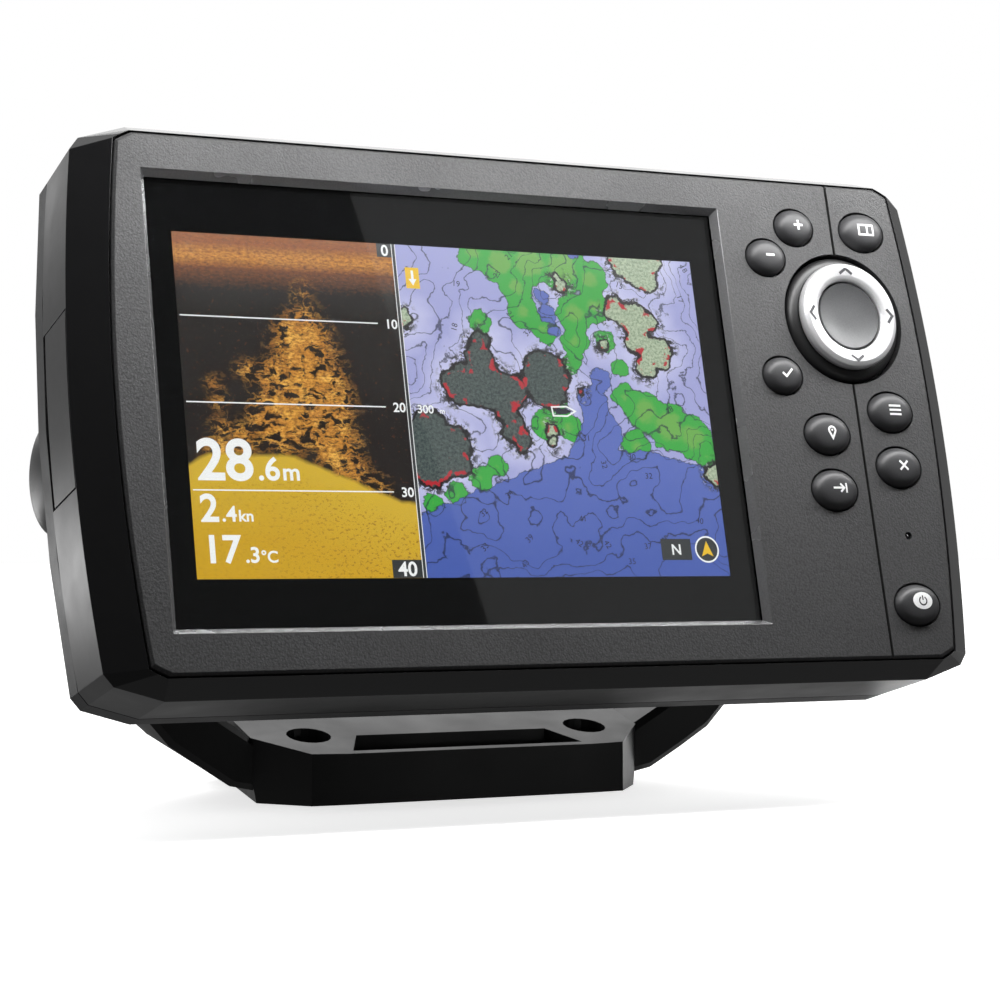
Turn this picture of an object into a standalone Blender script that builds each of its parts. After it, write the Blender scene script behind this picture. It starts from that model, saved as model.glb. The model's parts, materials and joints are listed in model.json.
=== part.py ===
"""Chartplotter display on a tilting gimbal bracket, in metres, +Z up.

The origin is the centre of the bracket's base, on the surface that it stands on.
The head is built in a frame of its own, x right, y up the face, z out of the face,
with its zero on the front of the faceplate. Two empties carry that frame: one on the
tilt axis and one on the face.
"""

import math

import bmesh
import bpy
from mathutils import Matrix, Vector

GAP = 0.0003  # clearance between neighbouring pieces
LEFT, RIGHT = -1, 1

# Placing of the head over the bracket
TILT_BACK = math.radians(14.05)  # lean of the face at rest
FACE_CENTRE = Vector((0.0, -0.0715, 0.0780))
TILT_AXIS = Vector((0.0, 0.0005, -0.0550))  # in the head's frame

# Housing: half sizes at the shoulder, and what the sides bow out by
HEAD_HALF_W = 0.0930
HEAD_HALF_H = 0.0534
HEAD_BOW = 0.0029
HEAD_CORNER = ((0.0, 0.0051), (0.0017, 0.0028), (0.0106, 0.0))
SHOULDER_Z = -0.0060
PARTING_Z = -0.0225
RIM_BACK_Z = -0.0302
REAR_Z = -0.0670
WALL = 0.0024

# Faceplate and its window
FACE_HALF_W = 0.0862
FACE_HALF_H = 0.0500
FACE_BOW = 0.0030
FACE_CORNER = ((0.0, 0.00165), (0.0015, 0.0008), (0.0031, 0.0))
FACE_BACK_Z = -0.0026
WINDOW_X, WINDOW_Y = -0.0189, 0.0002
WINDOW_HALF = (0.0601, 0.0429)
WINDOW_BEVEL = 0.0011
GLASS_HALF = (0.0621, 0.0447)
GLASS_FRONT_Z = -0.0021
SCREEN_X = -0.0190

# Keys: places on the face, and the recesses that they stand in
SMALL_KEYS = {
    "key_zoom_in": (0.0589, 0.0400),
    "key_zoom_out": (0.0512, 0.0331),
    "key_check": (0.0514, 0.0080),
}
LARGE_KEYS = {
    "key_view": (0.0754, 0.0399),
    "key_menu": (0.0760, 0.0009),
    "key_mark": (0.0600, -0.0041),
    "key_exit": (0.0761, -0.0108),
    "key_goto": (0.0599, -0.0157),
    "key_power": (0.0756, -0.0393),
}
SMALL_RECESS = (0.0048, 0.0042)
LARGE_RECESS = (0.0056, 0.0045)
KEY_PLAY = 0.0004
KEY_PROUD = 0.0019
SENSOR_PLACE = (0.0760, -0.0251)
SENSOR_RADIUS = 0.0008
DPAD_X, DPAD_Y = 0.0680, 0.0207
DPAD_RECESS = 0.0140
DPAD_RING = (0.0074, 0.0113)
DPAD_AXIS_Z = -0.0042

# Memory-card door on the left side
DOOR_Y = (-0.0150, 0.0175)
DOOR_FRONT_Z = -0.0065
DOOR_PIN_X, DOOR_PIN_Z = -0.0913, -0.0208
DOOR_PIN_RADIUS = 0.0005
DOOR_BARREL = 0.0013

# Electronics
BOARD_Z = -0.0200
BOARD_HALF = (0.0740, 0.0430)
BOARD_THICK = 0.0016
BOARD_SCREWS = [(sx * 0.0680, sy * 0.0370) for sx in (LEFT, RIGHT) for sy in (-1, 1)]
CHASSIS_Z = (-0.0102, -0.0122)
CASE_SCREWS = [(sx * 0.0825, sy * 0.0360) for sx in (LEFT, RIGHT) for sy in (-1, 1)]
SONAR_BOARD_Z = -0.0560
SOCKETS = {"power_socket": (-0.0230, -0.0090), "transducer_socket": (0.0230, -0.0090)}
SOCKET_RADIUS = 0.0080
VENT_PLACE = (0.0, 0.0200)

# Bracket: plan, side profile and arms
BASE_HALF_DEPTH = 0.0330
BASE_PANEL = 0.0273
BASE_FRONT = 0.0350
BASE_HALF_W = 0.0440
BASE_CORNER_Y = -BASE_HALF_DEPTH + 0.0115
BASE_FLARE = 0.0060  # height up to which the ends of the base lean outwards
LIP_HEIGHT = 0.0102
TOP_SLOPE = 0.25
CREST_Y = -BASE_HALF_DEPTH + 0.0320
SCREWS = ((0.0315, -BASE_HALF_DEPTH + 0.0117), (0.0280, BASE_HALF_DEPTH - 0.0117))
SCREW_HOLE_RADIUS = 0.0024
RECESS_RADIUS = 0.0046
RECESS_FLOOR = 0.0060
# x, z, lean in degrees, thickness, front y, back y, draft of the outer face to the back
ARM_STATIONS = (
    (0.0350, 0.0060, 16, 0.0104, -0.0213, 0.0110, 0.0026),
    (0.0453, 0.0079, 33, 0.0105, -0.0219, 0.0060, 0.0026),
    (0.0519, 0.0121, 33, 0.0105, -0.0230, 0.0010, 0.0024),
    (0.0582, 0.0163, 37, 0.0105, -0.0238, -0.0034, 0.0014),
    (0.0628, 0.0215, 60, 0.0104, -0.0245, -0.0058, 0.0),
    (0.0688, 0.0310, 76, 0.0102, -0.0260, -0.0072, 0.0),
    (0.0716, 0.0400, 88, 0.0100, -0.0274, -0.0080, 0.0),
)
ARM_INNER_X, ARM_OUTER_X = 0.0666, 0.0766
EYE_RADIUS = 0.0115
STUD_RADIUS = 0.0030
BOSS_X = 0.0645  # flat sides of the rear case, where the arms clamp
KNOB_RADIUS = 0.0124
KNOB_TOP_X = 0.0874


# ---------------------------------------------------------------- helpers


def clear_scene():
    for old in list(bpy.data.objects):
        bpy.data.objects.remove(old, do_unlink=True)


def new_collection(name):
    collection = bpy.data.collections.new(name)
    bpy.context.scene.collection.children.link(collection)
    return collection


def material(name, colour, roughness, metallic=0.0):
    made = bpy.data.materials.new(name)
    made.use_nodes = True
    shader = made.node_tree.nodes["Principled BSDF"]
    shader.inputs["Base Color"].default_value = (*colour, 1.0)
    shader.inputs["Roughness"].default_value = roughness
    shader.inputs["Metallic"].default_value = metallic
    return made


def empty(name, place, turn=(0.0, 0.0, 0.0), parent=None):
    made = bpy.data.objects.new(name, None)
    made.location = place
    made.rotation_euler = turn
    made.parent = parent
    PARTS.objects.link(made)
    return made


def to_mesh(name, bm):
    bmesh.ops.recalc_face_normals(bm, faces=bm.faces)
    mesh = bpy.data.meshes.new(name)
    bm.to_mesh(mesh)
    bm.free()
    mesh.shade_smooth()
    mesh.set_sharp_from_angle(angle=math.radians(35))
    return mesh


def part(name, mesh, look, place=(0.0, 0.0, 0.0), parent=None, turn=None):
    """Makes one named piece. A bmesh is turned into a mesh first."""
    if isinstance(mesh, bmesh.types.BMesh):
        mesh = to_mesh(name, mesh)
    made = bpy.data.objects.new(name, mesh)
    made.location = place
    if turn is not None:
        made.rotation_euler = turn
    made.parent = parent
    mesh.materials.append(look)
    PARTS.objects.link(made)
    return made


def operand(name, bm, parent=None, place=(0.0, 0.0, 0.0)):
    """Makes a shape that is only used to cut or join another."""
    made = bpy.data.objects.new(name, to_mesh(name, bm))
    made.location = place
    made.parent = parent
    made.hide_render = True
    made.display_type = "WIRE"
    CUTTERS.objects.link(made)
    return made


def combine(target, other, operation="DIFFERENCE"):
    step = target.modifiers.new(operation.lower(), "BOOLEAN")
    step.operation = operation
    step.solver = "EXACT"
    step.object = other


def bevel(target, width, segments=1, angle=40):
    step = target.modifiers.new("edges", "BEVEL")
    step.width = width
    step.segments = segments
    step.limit_method = "ANGLE"
    step.angle_limit = math.radians(angle)


def solidify(target, thickness):
    step = target.modifiers.new("wall", "SOLIDIFY")
    step.thickness = thickness
    step.offset = -1.0
    step.use_even_offset = True


def add_box(bm, size, centre):
    place = Matrix.Translation(centre) @ Matrix.Diagonal((*size, 1.0))
    bmesh.ops.create_cube(bm, size=1.0, matrix=place)


def add_cylinder(bm, radius, span, centre=(0.0, 0.0), segments=24, axis="Z", oval=1.0):
    """Adds a cylinder from span[0] to span[1] along axis; centre is its other two places."""
    length = abs(span[1] - span[0])
    middle = (span[0] + span[1]) / 2
    turn = {"Z": Matrix(), "Y": Matrix.Rotation(math.pi / 2, 4, "X"),
            "X": Matrix.Rotation(math.pi / 2, 4, "Y")}[axis]
    spot = {"Z": (centre[0], centre[1], middle), "Y": (centre[0], middle, centre[1]),
            "X": (middle, centre[0], centre[1])}[axis]
    place = Matrix.Translation(spot) @ turn @ Matrix.Diagonal((oval, 1.0, 1.0, 1.0))
    bmesh.ops.create_cone(bm, cap_ends=True, segments=segments, radius1=radius,
                          radius2=radius, depth=length, matrix=place)


def add_loft(bm, sections, capped=(True, True), looped=False):
    """Skins a run of sections that have the same number of points."""
    rows = [[bm.verts.new(point) for point in section] for section in sections]
    pairs = list(zip(rows, rows[1:]))
    if looped:
        pairs.append((rows[-1], rows[0]))
    for near, far in pairs:
        for i in range(len(near)):
            j = (i + 1) % len(near)
            bm.faces.new((near[i], far[i], far[j], near[j]))
    if capped[0] and not looped:
        bm.faces.new(rows[0])
    if capped[1] and not looped:
        bm.faces.new(list(reversed(rows[-1])))


def turned(name, profile, look, steps=32, place=(0.0, 0.0, 0.0), parent=None,
           turn=None, looped=False):
    """Spins a profile of (radius, height) points about z, outer side top to bottom."""
    mesh = bpy.data.meshes.new(name)
    count = len(profile)
    edges = [(i, i + 1) for i in range(count - 1)]
    if looped:
        edges.append((count - 1, 0))
    mesh.from_pydata([(r, 0.0, z) for r, z in profile], edges, [])
    made = part(name, mesh, look, place, parent, turn)
    step = made.modifiers.new("turn", "SCREW")
    step.axis = "Z"
    step.steps = step.render_steps = steps
    step.use_merge_vertices = True
    step.merge_threshold = 0.00001
    step.use_smooth_shade = True
    return made


def tube_profile(inner, outer, low, high):
    return [(outer, high), (outer, low), (inner, low), (inner, high)]


def facing(side):
    """Turns a piece's own z along x, outwards on that side."""
    return (0.0, side * math.pi / 2, 0.0)


def side_name(base, side):
    return f"{base}_{'left' if side == LEFT else 'right'}"


def outline(half_w, half_h, bow, corner, z, rise=0.0, side_steps=4):
    """Outline of the case, anticlockwise seen from the front, with bowed sides."""
    flank = half_w - bow
    reach = half_h - corner[0][1]
    side = []
    for i in range(side_steps + 1):
        y = -reach + 2 * reach * i / side_steps
        side.append((flank + bow * (1 - (y / reach) ** 2), y))
    top = [(flank - dx, half_h - dy) for dx, dy in corner[1:]]
    quarter = side + top
    right = [(x, -y) for x, y in reversed(top)] + quarter
    ring = right + [(-x, -y) for x, y in right]
    return [Vector((x, y + rise, z)) for x, y in ring]


def head_outline(inset, z):
    return outline(HEAD_HALF_W - inset, HEAD_HALF_H - inset, HEAD_BOW, HEAD_CORNER, z)


def face_outline(inset, z):
    return outline(FACE_HALF_W - inset, FACE_HALF_H - inset, FACE_BOW, FACE_CORNER, z)


def side_x(y, inset=0.0):
    """Half width of the housing at a height on the face."""
    reach = HEAD_HALF_H - HEAD_CORNER[0][1]
    return HEAD_HALF_W - inset - HEAD_BOW * (y / reach) ** 2


def rectangle(half, z, centre=(0.0, 0.0)):
    return [Vector((centre[0] + sx * half[0], centre[1] + sy * half[1], z))
            for sx, sy in ((-1, -1), (1, -1), (1, 1), (-1, 1))]


# ---------------------------------------------------------------- housing


def make_front_housing(head):
    bm = bmesh.new()
    add_loft(bm, [
        face_outline(-0.00035, -0.0004),
        head_outline(0.0, SHOULDER_Z),
        head_outline(0.0, PARTING_Z),
        head_outline(WALL, PARTING_Z),
        head_outline(WALL, SHOULDER_Z - 0.0018),
        face_outline(0.0010, -0.0046),
        face_outline(0.0010, FACE_BACK_Z - GAP),
        face_outline(-0.00035, FACE_BACK_Z - GAP),
    ], looped=True)
    housing = part("front_housing", bm, BLACK_PLASTIC, parent=head)

    opening = bmesh.new()
    width = DOOR_Y[1] - DOOR_Y[0] + 2 * GAP
    depth = DOOR_FRONT_Z + GAP - (PARTING_Z - 0.001)
    middle = Vector((-HEAD_HALF_W + 0.0005, sum(DOOR_Y) / 2, DOOR_FRONT_Z + GAP - depth / 2))
    add_box(opening, (0.0066, width, depth), middle)
    combine(housing, operand("door_opening", opening, head))

    pin_hole = bmesh.new()
    add_cylinder(pin_hole, DOOR_PIN_RADIUS + GAP, (DOOR_Y[0] - 0.0030, DOOR_Y[1] + 0.0030),
                 (DOOR_PIN_X, DOOR_PIN_Z), segments=12, axis="Y")
    combine(housing, operand("door_pin_hole", pin_hole, head))


def make_card_door(head):
    """Door that follows the side's bow, with a hinge barrel at its back edge."""
    steps = 6
    inner = DOOR_PIN_X + DOOR_BARREL * 0.4
    heights = [DOOR_Y[0] + (DOOR_Y[1] - DOOR_Y[0]) * i / steps for i in range(steps + 1)]
    outer = [(-side_x(y), y) for y in heights]
    plan = outer + [(inner, DOOR_Y[1]), (inner, DOOR_Y[0])]
    bm = bmesh.new()
    add_loft(bm, [
        [Vector((x - DOOR_PIN_X, y, z - DOOR_PIN_Z)) for x, y in plan]
        for z in (DOOR_FRONT_Z, DOOR_PIN_Z)
    ])
    door = part("card_door", bm, SIDE_PLASTIC, (DOOR_PIN_X, 0.0, DOOR_PIN_Z), head)
    barrel = bmesh.new()
    add_cylinder(barrel, DOOR_BARREL, DOOR_Y, segments=20, axis="Y")
    combine(door, operand("door_barrel", barrel, head, door.location), "UNION")
    bore = bmesh.new()
    add_cylinder(bore, DOOR_PIN_RADIUS + GAP, (DOOR_Y[0] - 0.001, DOOR_Y[1] + 0.001),
                 segments=12, axis="Y")
    combine(door, operand("door_bore", bore, head, door.location))

    pin = bmesh.new()
    add_cylinder(pin, DOOR_PIN_RADIUS, (DOOR_Y[0] - 0.0026, DOOR_Y[1] + 0.0026),
                 segments=12, axis="Y")
    part("door_hinge_pin", pin, STEEL, (DOOR_PIN_X, 0.0, DOOR_PIN_Z), head)


def make_rear_case(head):
    deep_corner = ((0.0, 0.0110), (0.0030, 0.0045), (0.0110, 0.0))
    mid_corner = ((0.0, 0.0070), (0.0022, 0.0034), (0.0100, 0.0))
    start = PARTING_Z - GAP
    bm = bmesh.new()
    add_loft(bm, [
        head_outline(0.0, start),
        head_outline(0.0, RIM_BACK_Z + 0.0020),
        head_outline(0.0007, RIM_BACK_Z + 0.0006),
        head_outline(0.0022, RIM_BACK_Z),
        outline(0.0780, 0.0440, 0.0010, mid_corner, RIM_BACK_Z),
        outline(0.0760, 0.0425, 0.0005, mid_corner, RIM_BACK_Z - 0.0024),
        outline(BOSS_X, 0.0380, 0.0, deep_corner, -0.0440, 0.0020),
        outline(BOSS_X, 0.0370, 0.0, deep_corner, REAR_Z + 0.0042, 0.0030),
        outline(BOSS_X - 0.0015, 0.0356, 0.0, deep_corner, REAR_Z + 0.0012, 0.0030),
        outline(BOSS_X - 0.0045, 0.0328, 0.0, deep_corner, REAR_Z, 0.0030),
    ], capped=(False, True))
    mesh = bpy.data.meshes.new("rear_case")
    bm.to_mesh(mesh)
    bm.free()
    mesh.shade_smooth()
    mesh.set_sharp_from_angle(angle=math.radians(35))
    case = part("rear_case", mesh, CASE_METAL, parent=head)
    solidify(case, WALL)

    holes = bmesh.new()
    for place in SOCKETS.values():
        add_cylinder(holes, SOCKET_RADIUS + GAP, (REAR_Z - 0.004, REAR_Z + 0.006), place, 20)
    add_cylinder(holes, 0.0033, (REAR_Z - 0.004, REAR_Z + 0.006), VENT_PLACE, 12)
    for place in CASE_SCREWS:
        add_cylinder(holes, 0.0016, (RIM_BACK_Z - 0.004, RIM_BACK_Z + 0.006), place, 8)
    for side in (LEFT, RIGHT):
        add_cylinder(holes, 0.0053, (side * 0.0560, side * 0.0680),
                     (TILT_AXIS.y, TILT_AXIS.z), 16, axis="X")
    combine(case, operand("rear_case_holes", holes, head))


def make_case_fittings(head):
    gasket = bmesh.new()
    add_loft(gasket, [
        head_outline(WALL + 0.0010, PARTING_Z + 0.0012),
        head_outline(WALL + 0.0010, PARTING_Z - 0.0016),
        head_outline(WALL + 0.0024, PARTING_Z - 0.0016),
        head_outline(WALL + 0.0024, PARTING_Z + 0.0012),
    ], looped=True)
    part("case_gasket", gasket, RUBBER, parent=head)

    # Heads lie on the rim's back face and the shanks reach the chassis posts.
    for i, place in enumerate(CASE_SCREWS):
        make_screw(f"case_screw_{i + 1}", (*place, RIM_BACK_Z - GAP), 0.0026, 0.0120, head)

    vent = [(0.0, 0.0028), (0.0030, 0.0028), (0.0030, -GAP), (0.0048, -GAP),
            (0.0048, -0.0012), (0.0040, -0.0018), (0.0, -0.0018)]
    turned("vent_plug", vent, RUBBER, 12, (*VENT_PLACE, REAR_Z), head)


def make_screw(name, seat, head_radius, length, head):
    """Pan-head screw whose head lies behind its seat and whose shank runs forwards."""
    shank, dome = 0.0012, 0.0015
    profile = [
        (0.0, length), (shank - 0.0003, length), (shank, length - 0.0004), (shank, 0.0),
        (head_radius, 0.0), (head_radius, -dome * 0.5), (head_radius * 0.7, -dome),
        (0.0, -dome),
    ]
    turned(name, profile, STEEL, 8, seat, head)


def make_socket(name, place, head):
    """Round socket that passes through the back, with a flange inside and an open cup."""
    r = SOCKET_RADIUS
    cup = 0.0062
    floor, mouth = 0.0024, -0.0052
    flange = WALL + GAP
    profile = [
        (0.0, flange + 0.0018), (r + 0.0020, flange + 0.0018), (r + 0.0020, flange),
        (r, flange), (r, mouth + 0.0004), (r - 0.0004, mouth), (cup + 0.0004, mouth),
        (cup, mouth + 0.0004), (cup, floor), (0.0, floor),
    ]
    turned(name, profile, BLACK_PLASTIC, 20, (*place, REAR_Z), head)


# ---------------------------------------------------------------- face and keys


def make_faceplate(head):
    bm = bmesh.new()
    add_loft(bm, [
        face_outline(0.0005, 0.0),
        face_outline(0.0, -0.0005),
        face_outline(0.0, FACE_BACK_Z),
    ])
    plate = part("faceplate", bm, FACE_PLASTIC, parent=head)

    cuts = bmesh.new()
    centre = (WINDOW_X, WINDOW_Y)
    slope = WINDOW_BEVEL / 0.0018
    reach = 0.0004
    outer = [half + slope * reach for half in WINDOW_HALF]
    inner = [half - WINDOW_BEVEL - slope * reach for half in WINDOW_HALF]
    add_loft(cuts, [rectangle(outer, reach, centre), rectangle(inner, -0.0018 - reach, centre)])
    through = (FACE_BACK_Z - 0.001, 0.001)
    add_cylinder(cuts, DPAD_RECESS, through, (DPAD_X, DPAD_Y), 36)
    for keys, (half_w, half_h) in ((SMALL_KEYS, SMALL_RECESS), (LARGE_KEYS, LARGE_RECESS)):
        for place in keys.values():
            add_cylinder(cuts, half_h, through, place, 20, oval=half_w / half_h)
    add_cylinder(cuts, SENSOR_RADIUS, through, SENSOR_PLACE, 8)
    combine(plate, operand("faceplate_openings", cuts, head))

    more = bmesh.new()
    pocket = (2 * GLASS_HALF[0] + 2 * GAP, 2 * GLASS_HALF[1] + 2 * GAP, 0.0020)
    add_box(more, pocket, (WINDOW_X, WINDOW_Y, -0.0018 - 0.0010))
    seam = 0.0005
    add_box(more, (seam, 0.0120, 0.0012), (DPAD_X, FACE_HALF_H - 0.0042, 0.0))
    add_box(more, (seam, 0.0600, 0.0012), (DPAD_X, -0.0232, 0.0))
    combine(plate, operand("faceplate_pocket_and_seam", more, head))


def make_key(name, place, recess, head):
    """Domed rubber key with a flange that keeps it behind the faceplate."""
    r = recess[1] - KEY_PLAY
    flange_top = FACE_BACK_Z - GAP - 0.0001
    profile = [
        (0.0, KEY_PROUD), (r * 0.45, KEY_PROUD - 0.00012), (r * 0.78, KEY_PROUD - 0.0005),
        (r * 0.95, KEY_PROUD - 0.0011), (r, KEY_PROUD - 0.0018), (r, flange_top),
        (r + 0.0006, flange_top), (r + 0.0006, flange_top - 0.0006),
        (0.0022, flange_top - 0.0006), (0.0022, flange_top - 0.0012), (0.0, flange_top - 0.0012),
    ]
    key = turned(name, profile, KEY_RUBBER, 16, (*place, 0.0), head)
    stretch(key, Matrix.Diagonal(((recess[0] - KEY_PLAY) / r, 1.0, 1.0, 1.0)))


def stretch(target, matrix):
    """Turns the evaluated shape into the object's own mesh and stretches that."""
    graph = bpy.context.evaluated_depsgraph_get()
    mesh = bpy.data.meshes.new_from_object(target.evaluated_get(graph))
    target.modifiers.clear()
    mesh.transform(matrix)
    target.data = mesh


def make_dpad(head):
    """Four-way pad: a skirt that rocks on a gimbal ring, with a bright ring and a dish."""
    centre = (DPAD_X, DPAD_Y, DPAD_AXIS_Z)
    drop = -DPAD_AXIS_Z
    skirt = [
        (0.0, drop + 0.0006), (DPAD_RING[1] + 0.0004, drop + 0.0006), (0.0126, drop + 0.0003),
        (0.0133, drop - 0.0006), (0.0133, drop - 0.0020), (0.0060, drop - 0.0026),
        (0.0, drop - 0.0026),
    ]
    turned("dpad_skirt", skirt, KEY_RUBBER, 28, centre, head)
    low = drop + 0.0006 + GAP
    inner, outer = DPAD_RING
    ring = [
        (outer - 0.0012, drop + 0.0031), (outer - 0.0003, drop + 0.0026),
        (outer, drop + 0.0018), (outer, low), (inner, low), (inner, drop + 0.0022),
        (inner + 0.0003, drop + 0.0026), (inner + 0.0010, drop + 0.0029),
    ]
    turned("dpad_ring", ring, SILVER, 28, centre, head, looped=True)
    rim = inner - GAP - 0.0001
    dish = [
        (0.0, drop + 0.0013), (rim * 0.5, drop + 0.0015), (rim * 0.85, drop + 0.0021),
        (rim - 0.0002, drop + 0.0022), (rim, drop + 0.0020), (rim, low), (0.0, low),
    ]
    turned("dpad_dish", dish, FACE_PLASTIC, 20, centre, head)
    turned("dpad_gimbal", tube_profile(0.0032, 0.0046, -0.0005, 0.0005), STEEL, 14, centre,
           head, looped=True)


def all_keys():
    return {**SMALL_KEYS, **LARGE_KEYS}


def make_keypad(head):
    membrane = bmesh.new()
    middle_x, middle_y = 0.0655, 0.0005
    add_box(membrane, (0.0350, 0.0920, 0.0008), (middle_x, middle_y, -0.0058))
    sheet = part("keypad_membrane", membrane, RUBBER, parent=head)
    hole = bmesh.new()
    add_cylinder(hole, 0.0054, (-0.0070, -0.0045), (DPAD_X, DPAD_Y), 20)
    combine(sheet, operand("membrane_hole", hole, head))

    board = bmesh.new()
    add_box(board, (0.0360, 0.0930, 0.0010), (middle_x, middle_y, -0.0079))
    part("key_board", board, BOARD, parent=head)

    film = bmesh.new()
    add_box(film, (0.0340, 0.0920, 0.0003), (middle_x, middle_y, -0.00705))
    sheet = part("dome_sheet", film, WHITE_PLASTIC, parent=head)
    domes = bmesh.new()
    spots = list(all_keys().values())
    spots += [(DPAD_X + 0.0095 * dx, DPAD_Y + 0.0095 * dy)
              for dx, dy in ((1, 0), (0, 1), (-1, 0), (0, -1))]
    for place in spots:
        add_cylinder(domes, 0.0024, (-0.0071, -0.0066), place, 8)
    combine(sheet, operand("domes", domes, head), "UNION")

    sensor = [(0.0, -0.0002), (SENSOR_RADIUS - GAP, -0.0004), (SENSOR_RADIUS - GAP, -0.0030),
              (0.0015, -0.0030), (0.0015, -0.0040), (0.0, -0.0040)]
    turned("light_sensor", sensor, CLEAR, 12, (*SENSOR_PLACE, 0.0), head)


# ---------------------------------------------------------------- screen


def make_screen(head):
    centre = (WINDOW_X, WINDOW_Y)
    glass = bmesh.new()
    add_box(glass, (2 * GLASS_HALF[0], 2 * GLASS_HALF[1], 0.0012),
            (*centre, GLASS_FRONT_Z - 0.0006))
    part("window_glass", glass, CLEAR, parent=head)

    gasket = bmesh.new()
    outer = (GLASS_HALF[0] - 0.0006, GLASS_HALF[1] - 0.0004)
    inner = (0.0583, 0.0380)
    top, low = -0.0036, -0.0052
    add_loft(gasket, [rectangle(outer, top, centre), rectangle(outer, low, centre),
                      rectangle(inner, low, centre), rectangle(inner, top, centre)], looped=True)
    part("window_gasket", gasket, RUBBER, parent=head)

    for name, size, z, look in (
        ("lcd_panel", (0.1140, 0.0715, 0.0014), -0.0043, LCD),
        ("backlight", (0.1150, 0.0730, 0.0026), -0.0066, WHITE_PLASTIC),
    ):
        bm = bmesh.new()
        add_box(bm, size, (SCREEN_X, 0.0, z))
        part(name, bm, look, parent=head)

    tray = bmesh.new()
    half, floor, lip = (0.0586, 0.0376), -0.0090, -0.0058
    add_loft(tray, [rectangle(half, lip, (SCREEN_X, 0.0)),
                    rectangle(half, floor, (SCREEN_X, 0.0))], capped=(False, True))
    mesh = bpy.data.meshes.new("lcd_tray")
    tray.to_mesh(mesh)
    tray.free()
    solidify(part("lcd_tray", mesh, ALUMINIUM, parent=head), 0.0005)


# ---------------------------------------------------------------- electronics


def make_chassis(head):
    bm = bmesh.new()
    add_loft(bm, [head_outline(WALL + 0.0006, CHASSIS_Z[0]),
                  head_outline(WALL + 0.0006, CHASSIS_Z[1])])
    chassis = part("display_chassis", bm, BLACK_PLASTIC, parent=head)
    posts = bmesh.new()
    for place in CASE_SCREWS:
        add_cylinder(posts, 0.0036, (-0.0260, CHASSIS_Z[1] + 0.0005), place, 10)
    for place in BOARD_SCREWS:
        add_cylinder(posts, 0.0030, (BOARD_Z + GAP, CHASSIS_Z[1] + 0.0005), place, 10)
    combine(chassis, operand("chassis_posts", posts, head), "UNION")
    holes = bmesh.new()
    for place in CASE_SCREWS:
        add_cylinder(holes, 0.0016, (-0.0280, -0.0150), place, 8)
    for place in BOARD_SCREWS:
        add_cylinder(holes, 0.0016, (-0.0220, -0.0140), place, 8)
    for x in (-0.0480, -0.0020, 0.0440):
        add_box(holes, (0.0300, 0.0500, 0.0060), (x, 0.0, CHASSIS_Z[0]))
    card_x = -side_x(0.0)
    add_box(holes, (0.0200, 0.0340, 0.0060), (card_x + 0.0100, sum(DOOR_Y) / 2, CHASSIS_Z[0]))
    combine(chassis, operand("chassis_holes", holes, head))


def make_boards(head):
    board = bmesh.new()
    add_box(board, (2 * BOARD_HALF[0], 2 * BOARD_HALF[1], BOARD_THICK),
            (0.0, 0.0, BOARD_Z - BOARD_THICK / 2))
    main = part("main_board", board, BOARD, parent=head)
    holes = bmesh.new()
    for place in BOARD_SCREWS:
        add_cylinder(holes, 0.0016, (BOARD_Z - 0.004, BOARD_Z + 0.004), place, 8)
    combine(main, operand("board_holes", holes, head))
    for i, place in enumerate(BOARD_SCREWS):
        seat = (*place, BOARD_Z - BOARD_THICK - GAP)
        make_screw(f"board_screw_{i + 1}", seat, 0.0024, 0.0068, head)

    back = BOARD_Z - BOARD_THICK - GAP
    shield_depth = 0.0034
    for name, size, place, look in (
        ("processor_shield", (0.0420, 0.0340, shield_depth), (-0.0100, 0.0, back), ALUMINIUM),
        ("satellite_antenna", (0.0180, 0.0180, 0.0045), (0.0380, 0.0335, back), CERAMIC),
    ):
        bm = bmesh.new()
        add_box(bm, size, (place[0], place[1], place[2] - size[2] / 2))
        bevel(part(name, bm, look, parent=head), 0.0005)

    buzzer = [(0.0, 0.0), (0.0060, 0.0), (0.0060, -0.0052), (0.0020, -0.0056), (0.0, -0.0056)]
    turned("buzzer", buzzer, BLACK_PLASTIC, 14, (0.0540, -0.0300, back), head)

    front = back - shield_depth - GAP
    spreader = bmesh.new()
    plate = 0.0045
    add_box(spreader, (0.1000, 0.0470, plate), (-0.0040, 0.0, front - plate / 2))
    made = part("heat_spreader", spreader, ALUMINIUM, parent=head)
    fins = bmesh.new()
    for i in range(6):
        add_box(fins, (0.0024, 0.0460, 0.0090), (-0.0480 + 0.0176 * i, 0.0, front - plate - 0.0040))
    combine(made, operand("spreader_fins", fins, head), "UNION")


def make_sonar_board(head):
    board = bmesh.new()
    add_box(board, (0.1040, 0.0580, BOARD_THICK), (0.0, 0.0030, SONAR_BOARD_Z))
    part("sonar_board", board, BOARD, parent=head)
    front = SONAR_BOARD_Z + BOARD_THICK / 2 + GAP
    core = bmesh.new()
    add_box(core, (0.0260, 0.0240, 0.0130), (0.0300, 0.0060, front + 0.0065))
    bevel(part("sonar_transformer", core, FERRITE, parent=head), 0.0010)
    can = [(0.0, 0.0160), (0.0075, 0.0160), (0.0080, 0.0154), (0.0080, 0.0), (0.0, 0.0)]
    turned("storage_capacitor", can, ALUMINIUM, 14, (-0.0300, 0.0120, front), head)


def make_card_socket(head):
    """Slot for a memory card, on edge behind the side door."""
    socket = bmesh.new()
    x = -side_x(0.0) + 0.0048
    middle_y = sum(DOOR_Y) / 2
    add_box(socket, (0.0150, 0.0140, 0.0026), (x + 0.0075, middle_y, -0.0142))
    made = part("card_socket", socket, STEEL, parent=head)
    slot = bmesh.new()
    add_box(slot, (0.0240, 0.0112, 0.0010), (x, middle_y, -0.0142))
    combine(made, operand("card_slot", slot, head))


# ---------------------------------------------------------------- clamp knobs


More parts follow.
